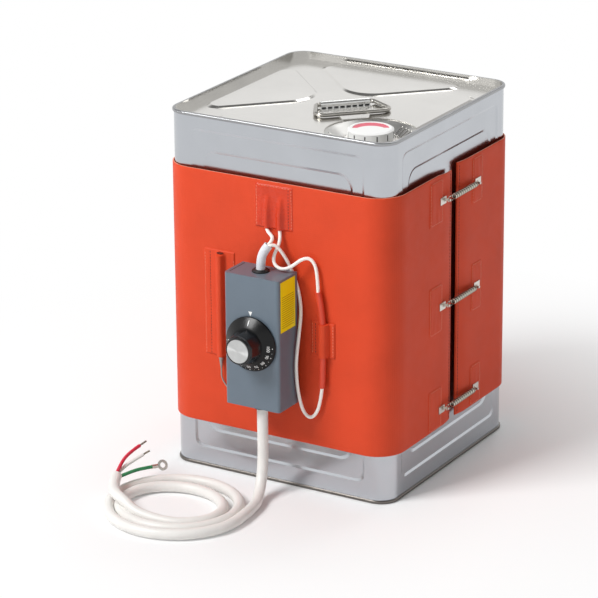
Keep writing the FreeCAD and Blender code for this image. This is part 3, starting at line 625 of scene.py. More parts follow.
@dataclass(frozen=True)
class PrintedFilm(Finish):
    """Printed polyester film: a field of colour with plain ruled lines in dark ink, within a margin."""

    ink: str = "#6a5a14"
    ink_share: float = 0.75
    width: float = 25.5
    height: float = 48.5
    low: Pair = (-158.0, 167.0)
    margin: float = 2.5
    ruled_share: float = 0.7
    pitch: float = 2.1
    rule: Pair = (0.72, 0.9)

    def texture(self, surface: Surface) -> None:
        """Rule faint lines below a plain head field, on the face that looks along X."""
        place = surface.place()
        parts = add_node(surface.tree, "ShaderNodeSeparateXYZ", {0: place}).outputs
        rules = surface.wave(place, self.pitch, bands_direction="Z")
        (faint, full), (left, foot) = self.rule, self.low
        inked = surface.add("ShaderNodeMapRange", {"Value": rules, "From Min": faint, "From Max": full})
        for axis, test, limit in (
                ("Y", "GREATER_THAN", left + self.margin), ("Y", "LESS_THAN", left + self.width - self.margin),
                ("Z", "GREATER_THAN", foot + self.margin), ("Z", "LESS_THAN", foot + self.height * self.ruled_share)):
            inked = surface.maths("MULTIPLY", inked, surface.maths(test, parts[axis], limit * MM))
        surface.blend(surface.maths("MULTIPLY", inked, self.ink_share), self.colour, self.ink)


@dataclass(frozen=True)
class PrintedCap(Finish):
    """Moulded polyethylene with a crescent of red print over the back half of the cap's top."""

    ink: str = "#d8405c"
    centre: Point = (73.0, -71.5, 346.0)
    top: float = 345.9
    outer: float = 16.8
    inner: float = 14.5
    inner_at: Point = (3.5, -6.1, 0.0)
    back: Point = (-0.5, 0.866, 0.0)
    behind: float = 1.0

    def texture(self, surface: Surface) -> None:
        """Print the crescent on the top face, behind the cap's middle."""
        body = surface.place()
        level = surface.add("ShaderNodeSeparateXYZ", {0: body}, "Z")
        flat = surface.add("ShaderNodeVectorMath", {0: surface.away(body, self.centre), 1: (1, 1, 0)},
                           operation="MULTIPLY")
        reach = surface.add("ShaderNodeVectorMath", {0: flat}, "Value", operation="LENGTH")
        hollow = surface.add("ShaderNodeVectorMath", {0: flat, 1: tuple(Vector(self.inner_at) * MM)}, "Value",
                             operation="DISTANCE")
        back = surface.add("ShaderNodeVectorMath", {0: flat, 1: self.back}, "Value", operation="DOT_PRODUCT")
        inked = surface.maths("LESS_THAN", reach, self.outer * MM)
        for value, limit in ((hollow, self.inner), (back, self.behind), (level, self.top)):
            inked = surface.maths("MULTIPLY", inked, surface.maths("GREATER_THAN", value, limit * MM))
        surface.blend(inked, self.colour, self.ink)


TIN_WALL = RolledTinplate("tinplate_wall", "#c0c3c8", 0.22)
TIN_END = RolledTinplate("tinplate_end", "#dddbd7", 0.18)
RIM_TIN = RolledTinplate("rim_tinplate", "#c9c8c5", 0.12)
# Rougher tinplate for the spout's dish, painted a little darker as shade in the recess.
DISH_TIN_SHADED = RolledTinplate("dish_tinplate_shaded", "#cfcecb", 0.34)
# The folded seams are the walls' tinplate painted darker: painted shade along the top seam, and darker painted shade
# along the bottom seam.
TOP_SEAM_SHADE = RolledTinplate("top_seam_shade_tinplate", "#a2a3a5", 0.3)
BASE_SEAM_SHADE = RolledTinplate("base_seam_shade_tinplate", "#77726d", 0.32)
STRAP_TIN = RolledTinplate("strap_tinplate", "#ececea", 0.3)
JACKET_CLOTH = CoatedCloth("jacket_cloth", "#da4826", 0.5, specular=0.22)
HEM_EDGE = MouldedPlastic("hem_edge", "#f0a48a", 0.6, flow=3.0)
PATCH_CLOTH = CoatedCloth("patch_cloth", "#d63f20", 0.26, specular=0.3, drift=0.16)
STITCH_THREAD = MouldedPlastic("stitch_thread", "#e98a6c", 0.6, flow=1.5)
# Dark thread for the stitches, and the same colour as painted shade in the sensor pocket's mouth.
DARK_THREAD_AND_SHADE = MouldedPlastic("dark_thread_and_shade", "#5a1c12", 0.6, flow=1.5)
CASE_PAINT = StovedPaint("case_paint", "#66737f", 0.34)
DEEP_SHADOW = MouldedPlastic("deep_shadow", "#15171a", 0.7)
WHITE_PRINT = MouldedPlastic("white_print", "#fdfdfb", 0.5, flow=1.0)
PLATE_FILM = PrintedFilm("plate_film", "#f8e60e", 0.32)
BLACK_RUBBER = MouldedPlastic("black_rubber", "#17181a", 0.55)
DIAL_CONE = TurnedFace("dial_cone", "#060607", 0.2, specular=0.27, centre=(-1.0, -165.0, 153.5), ring=0.5, fan=0.8)
DIAL_GRIP = MouldedPlastic("dial_grip", "#101012", 0.22, shine=(-0.04, 0.04))
DIAL_DISC = TurnedFace("dial_disc", "#cfd0cf", 0.34, 1.0, centre=(-1.0, -186.0, 153.5), ring=0.35, fan=0.9)
BRIGHT_STEEL = DrawnMetal("bright_steel", "#d8d3cb", 0.26)
SPRING_STEEL = WoundSpring("spring_steel", "#e2ddd0", 0.3)
BAIL_STEEL = DrawnMetal("bail_steel", "#b4b1ab", 0.3)
PLAIN_STEEL = DrawnMetal("plain_steel", "#a9a8a5", 0.35)
TINNED_COPPER = DrawnMetal("tinned_copper", "#a19d90", 0.35)
REGULATOR_BODY = MouldedPlastic("regulator_body", "#7a5a3a", 0.5)
CAP_PLASTIC = PrintedCap("cap_plastic", "#eeeeec", 0.3)
# Painted shade inside the cap's slits.
CAP_SLIT_SHADE = MouldedPlastic("cap_slit_shade", "#38383a", 0.6)
LEAD_SKIN = MouldedPlastic("lead_skin", "#fcf8f2", 0.45, flow=3.0)
BRAID = GlassBraid("glass_braid", "#eceef2", 0.6)
FUSE_TUBE = MouldedPlastic("fuse_tube", "#d9442a", 0.42, flow=4.0)
CORD_JACKET = MouldedPlastic("cord_jacket", "#efede9", 0.42, flow=8.0)
CORE_RED = MouldedPlastic("core_red", "#d8304a", 0.4, flow=2.0)
CORE_WHITE = MouldedPlastic("core_white", "#efedea", 0.4, flow=2.0)
CORE_GREEN = MouldedPlastic("core_green", "#2f8b57", 0.4, flow=2.0)


def soften(node: Piece, crease: float = 32.0) -> None:
    """Shade a frame node smoothly between its sharp edges, without moving a vertex."""
    node.data.polygons.foreach_set("use_smooth", [True] * len(node.data.polygons))
    node.data.set_sharp_from_angle(angle=math.radians(crease))


def dress_nodes(finishes: dict[str, Finish]) -> None:
    """Give frame nodes their finishes, and shade them smoothly."""
    for name, finish in finishes.items():
        soften(finish.dress(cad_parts[name]))


# The can

@dataclass
class Can:
    """The tinplate can, its spout and its carrying handle, with the ribs pressed into the spout's dish."""

    spout: Point = (73.0, -71.5, 333.5)
    dish_floor: float = 31.0
    dish_slope: float = 8.0 / 11.5
    dish_reach: float = 48.0
    dish_level: float = 341.3
    rib_reach: Pair = (27.6, 39.5)
    rib_width: float = 1.3
    rib_slimness: float = 0.65
    rib_rise: float = 0.75
    rib_root: float = 0.15
    rib_sheet: float = 0.3
    rib_spacing: float = 8.0
    rib_fans: Pair = (-135.0, 45.0)
    ribs_in_fan: int = 8
    rib_steps: int = 8
    rib_rows: int = 5
    slit_reach: Pair = (20.2, 21.1)
    hinge: Point = (10.5, -10.5, 345.4)
    strap_length: float = 47.4
    slots: int = 8
    slot_share: float = 0.72
    slot_levels: Pair = (-3.15, -1.9)
    slot_depths: Pair = (-3.26, -2.9)
    corner_at: float = 99.8
    seam_inside: float = 16.45
    seam_low: float = 345.7
    rim_inside: float = 15.9
    rim_low: float = 341.9
    wall_outside: float = 17.9
    base_seam_height: float = 3.3

    def from_spout(self, place: Vector) -> float:
        """How far a place is from the spout's axis."""
        return (place - Vector(self.spout)).xy.length

    def dress(self) -> None:
        """Give the can's own nodes their finishes, and their seams, rim, dish and slits those of their own, with
        painted shade on the seams and in the cap's slits, and a little in the dish.
        """
        dress_nodes({"can_body": TIN_WALL, "can_top": TIN_END, "spout_ring": TIN_END, "spout_cap": CAP_PLASTIC,
                     "bail": BAIL_STEEL, "bail_strap": STRAP_TIN})
        cap, top, body = (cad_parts[name] for name in ("spout_cap", "can_top", "can_body"))
        low, high = self.slit_reach
        # The faces in the cap's slits are painted dark as shade inside them.
        CAP_SLIT_SHADE.redress(cap, lambda place, normal: low < self.from_spout(place) < high and abs(normal.z) < 0.5)
        # The dish gets rougher tinplate with painted shade: a darker colour in the recess.
        DISH_TIN_SHADED.redress(
            top, lambda place, normal: self.from_spout(place) < self.dish_reach and place.z < self.dish_level)
        self.dress_border(top, RIM_TIN, self.rim_inside, self.rim_low)
        self.dress_border(top, TIN_WALL, self.seam_inside, 0.0)
        # Painted shade: the top seam darker than the wall.
        self.dress_border(top, TOP_SEAM_SHADE, self.seam_inside, self.seam_low)
        # Painted shade: the bottom seam much darker than the wall.
        self.dress_border(body, BASE_SEAM_SHADE, self.wall_outside, 0.0, self.base_seam_height)

    def dress_border(self, node: Piece, finish: Finish, inside: float, low: float, high: float = math.inf) -> None:
        """Give the border of a can node another finish: its folded seam, its rim or the wall below it.

        Args:
            node: The frame node.
            finish: The border's finish.
            inside: How far past the corners' centres the border begins.
            low: The level at which it begins.
            high: The level at which it ends.
        """
        def in_border(place: Vector, normal: Vector) -> bool:
            """Whether a face's middle is past the corners' centres and between the levels."""
            past = [max(abs(side) - self.corner_at, 0.0) for side in (place.x, place.y)]
            return math.hypot(*past) > inside and low <= place.z <= high

        finish.redress(node, in_border)

    def ribs(self) -> Piece:
        """Press short ribs into the sloping wall of the dish, in one fan on each side of the spout.

        Returns:
            The ribs, as one mesh of lens shaped ridges.
        """
        vertices: list[Vector] = []
        faces: list[Sequence[int]] = []
        inner, outer = self.rib_reach
        wide = self.rib_rows + 1
        for fan in self.rib_fans:
            for index in range(self.ribs_in_fan):
                out = direction(fan + (index - (self.ribs_in_fan - 1) / 2) * self.rib_spacing)
                side = Vector((-out.y, out.x, 0))
                start = len(vertices)
                for step in range(self.rib_steps + 1):
                    share = step / self.rib_steps
                    radius = inner + (outer - inner) * share
                    wall = max(0.0, (radius - self.dish_floor) * self.dish_slope)
                    swell = math.sin(math.pi * share) ** 0.6
                    for row in range(wide):
                        across = row / self.rib_rows * 2 - 1
                        offset = across * self.rib_width * (1 - self.rib_slimness + self.rib_slimness * swell)
                        rise = self.rib_rise * swell * (1 - across ** 2) - self.rib_root
                        spot = Vector(self.spout) + out * radius + side * offset + Vector((0, 0, wall + rise))
                        vertices.append(spot * MM)
                for step in range(self.rib_steps):
                    for row in range(self.rib_rows):
                        a = start + step * wide + row
                        faces.append((a, a + wide, a + wide + 1, a + 1))
        ribs = tidy_mesh(new_mesh("dish_ribs", vertices, faces))
        ribs.modifiers.new("depth", "SOLIDIFY").thickness = -self.rib_sheet * MM
        return ride(TIN_END.dress(ribs), Body.HEATER)

    def strap_slot_shade(self) -> Piece:
        """Paint shadow as dark prisms in the slots along the strap's foot, on the side that the handle lies on."""
        near, far = self.slot_depths
        pitch = self.strap_length / self.slots
        half = pitch * self.slot_share / 2
        middles = [(index + 0.5) * pitch - self.strap_length / 2 for index in range(self.slots)]
        outlines = [rectangle(middle - half, middle + half, near, far) for middle in middles]
        turn = shift(self.hinge) @ Matrix.Rotation(math.radians(45), 4, "Z")
        slots = prisms("strap_slot_shade", outlines, *self.slot_levels, turn)
        return ride(DEEP_SHADOW.dress(slots), Body.HEATER)

    def build(self) -> None:
        """Dress the can and add its ribs and the painted shadow in the strap's slots."""
        self.dress()
        self.ribs()
        self.strap_slot_shade()
        LOG.info("can: walls, top end, spout, handle, dish ribs and strap slots")


# The heater's jacket and what is sewn on it

@dataclass
class Jacket:
    """The cloth jacket: a hemmed band round the can, open on the side towards +X."""

    half: float = 122.0
    corner: float = 28.4
    corner_steps: int = 12
    thickness: float = 1.6
    hem_turns: tuple[int, ...] = (30, 60, 90, 120, 150)
    bottom: float = 47.5
    top: float = 297.5
    opening: Pair = (-3.0, 8.5)
    step: float = 4.0
    sag: float = 2.6
    sag_reach: float = 26.0
    lift: float = 1.4
    lift_share: float = 0.45
    pull_in: float = 2.1
    pull_reach: float = 16.0
    wave: float = 0.22
    wave_scale: Pair = (0.011, 0.009)
    ripple: float = 0.1
    ripple_scale: Pair = (0.05, 0.012)
    ripple_offset: float = 7
    crown: float = 0.8

    def outline(self) -> list[tuple[Vector, Vector, float]]:
        """Walk round the band from the opening's far edge to its near edge.

        Returns:
            For each column its place on the outside, its outward direction and the distance walked.
        """
        stations: list[tuple[Vector, Vector]] = []

        def run(start: Vector, end: Vector, out: Vector) -> None:
            """Walk along a straight side, up to its end."""
            count = max(2, round((end - start).length / self.step))
            stations.extend((start.lerp(end, i / count), out) for i in range(count))

        here = Vector((self.half, self.opening[1], 0))
        for first, x, y in ((0, 1, 1), (90, -1, 1), (180, -1, -1), (270, 1, -1)):
            centre = Vector((x, y, 0)) * (self.half - self.corner)
            run(here, centre + direction(first) * self.corner, direction(first))
            for i in range(self.corner_steps):
                turn = direction(first + 90 * i / self.corner_steps)
                stations.append((centre + turn * self.corner, turn))
            here = centre + direction(first + 90) * self.corner
        end = Vector((self.half, self.opening[0], 0))
        run(here, end, direction(0))
        stations.append((end, direction(0)))
        walked, columns = 0.0, []
        for i, (place, out) in enumerate(stations):
            walked += (place - stations[i - 1][0]).length if i else 0.0
            columns.append((place, out, walked))
        return columns

    def edge_shift(self, walked: float, total: float) -> float:
        """How far the top edge is lifted or let down at a place along the band."""
        near = max(0.0, 1 - (total - walked) / self.sag_reach)
        far = max(0.0, 1 - walked / (total * self.lift_share))
        return self.lift * far - self.sag * near ** 0.7

    def tuck(self, distance: float) -> float:
        """How far the cloth is drawn in to the can's wall at a distance from the opening's edge."""
        return self.pull_in * max(0.0, 1 - distance / self.pull_reach) ** 1.5

    def swell(self, place: Vector, z: float, out: Vector) -> float:
        """How far the cloth stands proud or sinks, from long soft waves, as cloth that is pulled tight does."""
        flat = max(abs(out.x), abs(out.y)) ** 8
        round_it, up = self.wave_scale
        wave = noise.noise(Vector((place.x * round_it, place.y * round_it, z * up)))
        round_it, up = self.ripple_scale
        ripple = noise.noise(Vector((place.x * round_it, place.y * round_it, z * up + self.ripple_offset)))
        return flat * (self.wave * wave + self.ripple * ripple)

    def section(self, top: float) -> list[Pair]:
        """Go up the cloth's outside, over its upper hem, down its inside and round its lower hem.

        Args:
            top: The level of its top edge.

        Returns:
            Depths from the outside, and levels.
        """
        half = self.thickness / 2
        rows = round((self.top - self.bottom) / self.step)
        levels = [self.bottom + half + (top - self.bottom - self.thickness) * row / rows for row in range(rows + 1)]

        def hem(middle: float, first: int) -> list[Pair]:
            """Go half round a hem, from a first angle on."""
            angles = [math.radians(first + turn) for turn in self.hem_turns]
            return [(half * (1 - math.cos(angle)), middle + half * math.sin(angle)) for angle in angles]

        outside, inside = [(0.0, level) for level in levels], [(self.thickness, level) for level in reversed(levels)]
        return outside + hem(top - half, 0) + inside + hem(self.bottom + half, 180)

    def mesh(self) -> Piece:
        """Build the band with rounded hems at its top and bottom."""
        columns = self.outline()
        total = columns[-1][2]
        vertices: list[Vector] = []
        uvs: list[Pair] = []
        for place, out, walked in columns:
            drawn = self.tuck(min(walked, total - walked))
            for depth, z in self.section(self.top + self.edge_shift(walked, total)):
                spot = place + out * (self.swell(place, z, out) - depth - drawn)
                vertices.append(Vector((spot.x, spot.y, z)) * MM)
                uvs.append((walked * MM, z * MM))
        faces = tube_faces(0, len(columns), len(vertices) // len(columns))
        return tidy_mesh(new_mesh("jacket", vertices, faces, uvs), 50.0)

    def build(self) -> Piece:
        """Put the jacket in the frame, with the pale tone of the cloth's cut edge on its upper hem's crown."""
        jacket = JACKET_CLOTH.dress(self.mesh())
        HEM_EDGE.redress(jacket, lambda place, normal: normal.z > self.crown)
        ride(jacket, Body.HEATER)
        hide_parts("heater_band")
        LOG.info("jacket: %d faces", len(jacket.data.polygons))
        return jacket


@dataclass(frozen=True)
class Panel:
    """A flat side of the jacket: where its origin is and which way its sideways and outward directions go."""

    origin: Vector
    along: Vector
    out: Vector

    def place(self, u: float, v: float, w: float) -> Vector:
        """Turn a place on the panel, in millimetres along, up and out, into metres."""
        return (self.origin + self.along * u + Vector((0, 0, v)) + self.out * w) * MM


FRONT = Panel(Vector((0, -122, 0)), Vector((1, 0, 0)), Vector((0, -1, 0)))
SIDE = Panel(Vector((122, 0, 0)), Vector((0, 1, 0)), Vector((1, 0, 0)))


@dataclass(frozen=True)
class Ridge:
    """A round ridge in a patch, over a lead or a bulb that runs up under it."""

    u: float
    out: float
    radius: float
    low: float
    high: float
    taper_low: float = 0.01
    taper_high: float = 0.01
    foot: float = 1.6

    def height(self, u: float, v: float) -> float:
        """How far the ridge lifts the cloth at a place on the panel."""
        away = abs(u - self.u)
        if away < self.radius:
            crest = self.out + math.sqrt(self.radius ** 2 - away ** 2)
        else:
            crest = self.out * math.exp(-((away - self.radius) / self.foot) ** 1.5)
        start, end = clamp((v - self.low) / self.taper_low), clamp((self.high - v) / self.taper_high)
        return crest * math.sin(start * math.pi / 2) * math.sin(end * math.pi / 2)


@dataclass(frozen=True)
class StitchRow:
    """A straight row of stitches between two places on a panel, which pull the cloth down round them."""

    start: Pair
    end: Pair
    dark: bool = False
    pitch: float = 3.0
    bead_share: float = 0.36
    pull: float = 0.3
    pull_reach: float = 0.9

    def pull_at(self, u: float, v: float) -> float:
        """How far the stitches pull the cloth down at a place."""
        start, place = Vector((*self.start, 0)), Vector((u, v, 0))
        line = Vector((*self.end, 0)) - start
        away = (place - start - line * clamp((place - start).dot(line) / line.length_squared)).length
        return self.pull * math.exp(-(away / self.pull_reach) ** 2)

    def beads(self) -> list[Bead]:
        """Give each stitch's middle, direction and half length."""
        start, end = Vector((*self.start, 0)), Vector((*self.end, 0))
        count = max(1, round((end - start).length / self.pitch))
        heading, half = (end - start).normalized(), self.pitch * self.bead_share
        return [(start.lerp(end, (index + 0.5) / count), heading, half) for index in range(count)]


def upright(u: float, low: float, high: float, dark: bool = False) -> StitchRow:
    """Plan a row of stitches straight up a panel."""
    return StitchRow((u, low), (u, high), dark)


def sew(name: str, panel: Panel, beads: Sequence[Bead], height: Callable[[float, float], float]) -> Piece:
    """Make many small raised stitches as one mesh.

    Args:
        name: The object's name.
        panel: The panel that they lie on.
        beads: Each stitch's middle, direction and half length on the panel, in millimetres.
        height: The cloth's height at a place on the panel.

    Returns:
        The stitches.
    """
    vertices: list[Vector] = []
    faces: list[Sequence[int]] = []
    sides, width, rise, lifted = 6, 0.34, 0.26, 0.05
    rings = ((-1.0, 0.25), (-0.6, 0.85), (0.0, 1.0), (0.6, 0.85), (1.0, 0.25))
    for middle, heading, half in beads:
        across = Vector((-heading.y, heading.x, 0))
        faces += tube_faces(len(vertices), len(rings), sides)
        for along, thick in rings:
            centre = middle + heading * along * half
            base = height(centre.x, centre.y) + lifted
            for side in range(sides):
                angle = math.tau * side / sides
                spot = centre + across * math.cos(angle) * width * thick
                vertices.append(panel.place(spot.x, spot.y, base + math.sin(angle) * rise * thick))
    return tidy_mesh(new_mesh(name, vertices, faces), 80.0)


@dataclass
class Patch:
    """A piece of coated cloth sewn on the jacket."""

    name: str
    node: str
    panel: Panel
    edges: tuple[float, float, float, float]
    ridges: tuple[Ridge, ...] = ()
    rows: tuple[StitchRow, ...] = ()
    wrinkle: float = 0.12
    step: float = 1.0
    finish: Finish = JACKET_CLOTH
    extra: Callable[[float, float], float] | None = None
    thickness: float = 1.0
    edge_roll: float = 0.7
    edge_calm: float = 3
    fold_scale: Pair = (0.22, 0.07)
    fine_scale: Pair = (0.5, 0.35)
    fine_share: float = 0.4
    fold_on_ridge: float = 0.5
    under: float = -0.5

    def height(self, u: float, v: float) -> float:
        """How far the cloth stands off the panel at a place on it."""
        left, right, low, high = self.edges
        edge = min(u - left, right - u, v - low, high - v)
        roll = min(1.0, edge / self.edge_roll)
        base = self.thickness * math.sqrt(max(0.0, 1 - (1 - roll) ** 2))
        crest = max([ridge.height(u, v) for ridge in self.ridges], default=0.0)
        (fold_u, fold_v), (fine_u, fine_v) = self.fold_scale, self.fine_scale
        fold = noise.noise(Vector((u * fold_u, v * fold_v, self.thickness + left)))
        fine = noise.noise(Vector((u * fine_u, v * fine_v, right)))
        folds = self.wrinkle * (fold + self.fine_share * fine) * min(1.0, edge / self.edge_calm)
        lift = self.extra(u, v) if self.extra else 0.0
        pull = sum(row.pull_at(u, v) for row in self.rows)
        return max(base + folds + lift - pull, crest + folds * self.fold_on_ridge)

    def cloth(self) -> Piece:
        """Build the patch as a closed cloth that meets the jacket all round."""
        left, right, low, high = self.edges
        columns = max(2, round((right - left) / self.step))
        lines = max(2, round((high - low) / self.step))
        wide, count = columns + 1, (columns + 1) * (lines + 1)
        spots = [(left + (right - left) * column / columns, low + (high - low) * line / lines)
                 for line in range(lines + 1) for column in range(wide)]
        vertices = [self.panel.place(u, v, self.height(u, v)) for u, v in spots]
        vertices += [self.panel.place(u, v, self.under) for u, v in spots]
        faces = []
        for line in range(lines):
            for a in range(line * wide, line * wide + columns):
                faces.append((a, a + 1, a + 1 + wide, a + wide))
                faces.append((count + a, count + a + wide, count + a + 1 + wide, count + a + 1))
        border = list(range(columns)) + [columns + wide * line for line in range(lines)]
        border += [count - 1 - place for place in border]
        for here, after in zip(border, border[1:] + border[:1]):
            faces.append((here, after, count + after, count + here))
        return tidy_mesh(new_mesh(self.name, vertices, faces, [(u * MM, v * MM) for u, v in spots * 2]), 60.0)

    def build(self) -> list[Piece]:
        """Put the patch and its stitches, one mesh for each thread, in the frame.

        Returns:
            Every piece of the patch.
        """
        cloth = ride(self.finish.dress(self.cloth()), Body.HEATER)
        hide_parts(self.node)
        pieces = [cloth]
        for dark, name, thread in ((False, "_stitches", STITCH_THREAD), (True, "_dark_stitches", DARK_THREAD_AND_SHADE)):
            beads = [bead for row in self.rows if row.dark == dark for bead in row.beads()]
            if beads:
                sewn = sew(self.name + name, self.panel, beads, self.height)
                pieces.append(ride(thread.dress(sewn), Body.HEATER))
        return pieces


@dataclass
class FrontPatches:
    """The patches on the front: over the leads, over the sensor bulb and round the fuse's sleeve."""

    lead: tuple[float, float, float, float] = (-19.5, 20.5, 252.5, 294.5)
    leads: Pair = (-6.3, 7.5)
    pocket: tuple[float, float, float, float] = (-76.0, -42.4, 117.5, 222.5)
    bulb: float = -57.2
    loop: tuple[float, float, float, float] = (39.0, 64.4, 137.5, 171.5)
    fuse: float = 53.8
    flap: Point = (58.5, 1.5, 0.8)

    def lead_patch(self) -> Patch:
        """The glossy patch over both leads, puckered between its rows of stitches."""
        left, right, low, high = self.lead
        rows = (upright(left + 1.6, low + 2, high - 2), upright(right - 1.6, low + 2, high - 2),
                upright(right - 4.6, low + 2, high - 2, dark=True),
                StitchRow((left + 3, high - 1.6), (right - 3, high - 1.6)))
        return Patch("lead_patch_cloth", "lead_patch", FRONT, self.lead, tuple(
            Ridge(lead, 2.3, 2.7, low, low + 36, taper_high=26, foot=2.6) for lead in self.leads), rows, 0.6,
            finish=PATCH_CLOTH)

    def sensor_pocket(self) -> Patch:
        """The pocket with its ridge over the sensor bulb."""
        left, right, low, high = self.pocket
        rows = (upright(left + 1.4, low + 1, high - 4), upright(left + 7.0, low + 1, high - 2, dark=True),
                upright(right - 1.4, low + 1, high - 8))
        return Patch("sensor_pocket_cloth", "sensor_pocket", FRONT, self.pocket, (
            Ridge(self.bulb, 3.2, 3.8, low, 220.0, taper_high=1.2, foot=1.2),), rows, 0.3)

    def fuse_loop(self) -> Patch:
        """The loop round the fuse's sleeve, with its flap sewn down on the right."""
        left, right, low, high = self.loop
        start, slope, rise = self.flap
        rows = (upright(right - 1.6, low + 2, high - 2), upright(left + 1.6, low + 2, high - 2),
                upright(left + 5.0, low + 2, high - 2, dark=True))
        return Patch("fuse_loop_cloth", "fuse_loop", FRONT, self.loop, (
            Ridge(self.fuse, 3.9, 4.4, low, high, taper_low=0.8, taper_high=0.8, foot=1.0),), rows, 0.25,
            extra=lambda u, v: rise * clamp((u - start) / slope))

    def pocket_mouth_shade(self) -> Piece:
        """Paint shade as a dark disc in the mouth at the top of the sensor's pocket."""
        shape = shift((self.bulb, -124.6, 220.3)) @ Matrix.Diagonal((1.0, 0.62, 1.0, 1.0))
        mouth = turned("pocket_mouth_shade", [(0, -0.4), (3.3, -0.4), (3.5, 0.0), (3.3, 0.25), (0, 0.3)], 28, shape)
        return ride(DARK_THREAD_AND_SHADE.dress(mouth), Body.HEATER)

    def build(self) -> list[Piece]:
        """Sew on the three patches."""
        pieces = self.lead_patch().build() + self.sensor_pocket().build() + self.fuse_loop().build()
        pieces.append(self.pocket_mouth_shade())
        LOG.info("front patches: %d pieces", len(pieces))
        return pieces


@dataclass
class SpringSide:
    """The side with the opening: patches, rows of stitches, coil springs and their tabs."""

    heights: dict[str, float] = field(default_factory=lambda: {"upper": 272.0, "middle": 169.0, "lower": 66.0})
    patch_heights: dict[str, Pair] = field(default_factory=lambda: {
        "upper": (251.0, 296.5), "middle": (144.0, 192.0), "lower": (48.5, 89.5)})
    patch_sides: dict[str, Pair] = field(default_factory=lambda: {"left": (-49.0, -24.0), "right": (33.0, 54.0)})
    upper_left_cut: float = 2.6
    seam_foot: float = 50.0
    seam_pitch: float = 3.2
    seam_bead: float = 1.1
    centre_x: float = 126.1
    coil: Pair = (-9.6, 33.0)
    wire: float = 0.9
    drawn_wire: float = 0.97
    mean_radius: float = 2.3
    hook_left: float = 12.4
    hook_right: float = 6.0
    hook_bend: float = 0.95
    hook_back: float = 1.2
    bend_steps: int = 9
    turn_points: int = 14
    jacket: Jacket = field(default_factory=Jacket)

    def patches(self) -> list[Piece]:
        """Sew a patch under each end of each spring."""
        pieces = []
        for place, (low, high) in self.patch_heights.items():
            for side, (left, right) in self.patch_sides.items():
                name = "patch_%s_%s" % (side, place)
                top = high - (self.upper_left_cut if name == "patch_left_upper" else 0.0)
                rows = tuple(upright(u, low + 1.5, top - 1.5) for u in (left + 1.4, right - 1.4))
                rows += tuple(StitchRow((left + 3, v), (right - 3, v)) for v in (low + 1.4, top - 1.4))
                pieces += Patch(name + "_cloth", name, SIDE, (left, right, low, top), (), rows, 0.3, 1.5).build()
        return pieces

    def edge_seams(self) -> list[Piece]:
        """Sew one row down each side of the opening."""
        pieces = []
        for name, edge, inset, top in (("near_seam", 0, -3.5, 293.0), ("far_seam", 1, 2.7, 296.0)):
            y, drawn = self.jacket.opening[edge] + inset, self.jacket.tuck(abs(inset))
            length = top - self.seam_foot
            count = round(length / self.seam_pitch)
            beads = [(Vector((y, self.seam_foot + length * (i + 0.5) / count, 0)), Vector((0, 1, 0)), self.seam_bead)
                     for i in range(count)]
            seam = sew(name, SIDE, beads, lambda u, v: -drawn)
            pieces.append(ride(DARK_THREAD_AND_SHADE.dress(seam), Body.HEATER))
        return pieces

    def hook(self, base: float, reach: float) -> list[Point]:
        """The wire's way along a hook, from the coil and back to it.

        Args:
            base: Where the coil ends.
            reach: How far the hook goes from there, below zero towards -Y.

        Returns:
            Places from the coil's middle.
        """
        side, radius = math.copysign(1, reach), self.mean_radius
        bend = side * radius * self.hook_bend
        start = base + side * (abs(reach) - self.wire / 2) - bend
        path = [(0.0, base, radius), (0.0, start, radius)]
        for step in range(1, self.bend_steps):
            angle = math.pi * step / self.bend_steps
            path.append((0.0, start + bend * math.sin(angle), radius * math.cos(angle)))
        return path + [(0.0, start, -radius), (0.0, base + side * self.hook_back, -radius)]

    def spring_path(self, height: float) -> list[Vector]:
        """The wire's centre line: a hook, the close turns and the other hook."""
        low, high = self.coil
        turns = round((high - low) / self.wire)
        coil = []
        for index in range(turns * self.turn_points + 1):
            share = index / (turns * self.turn_points)
            angle = math.tau * turns * share
            coil.append((self.mean_radius * math.sin(angle), low + (high - low) * share,
                         self.mean_radius * math.cos(angle)))
        left, right = self.hook(low, -self.hook_left)[::-1], self.hook(high, self.hook_right)
        return metres([(self.centre_x + x, y, height + z) for x, y, z in left[:-1] + coil + right[1:]])

    def springs(self) -> None:
        """Wind the three springs and put steel on their tabs."""
        for place, height in self.heights.items():
            radius = self.wire / 2 * self.drawn_wire * MM
            spring = SPRING_STEEL.dress(tube("spring_%s_wire" % place, self.spring_path(height), radius, 7))
            ride(spring, Body.HEATER)
            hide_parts("spring_" + place)
            dress_nodes({"tab_%s_%s" % (side, place): BRIGHT_STEEL for side in self.patch_sides})

    def build(self) -> list[Piece]:
        """Build everything on the side with the opening.

        Returns:
            The cloth pieces and seams, which go with the jacket.
        """
        sewn = self.patches() + self.edge_seams()
        self.springs()
        LOG.info("spring side: %d sewn pieces, %d springs", len(sewn), len(self.heights))
        return sewn


# The controller

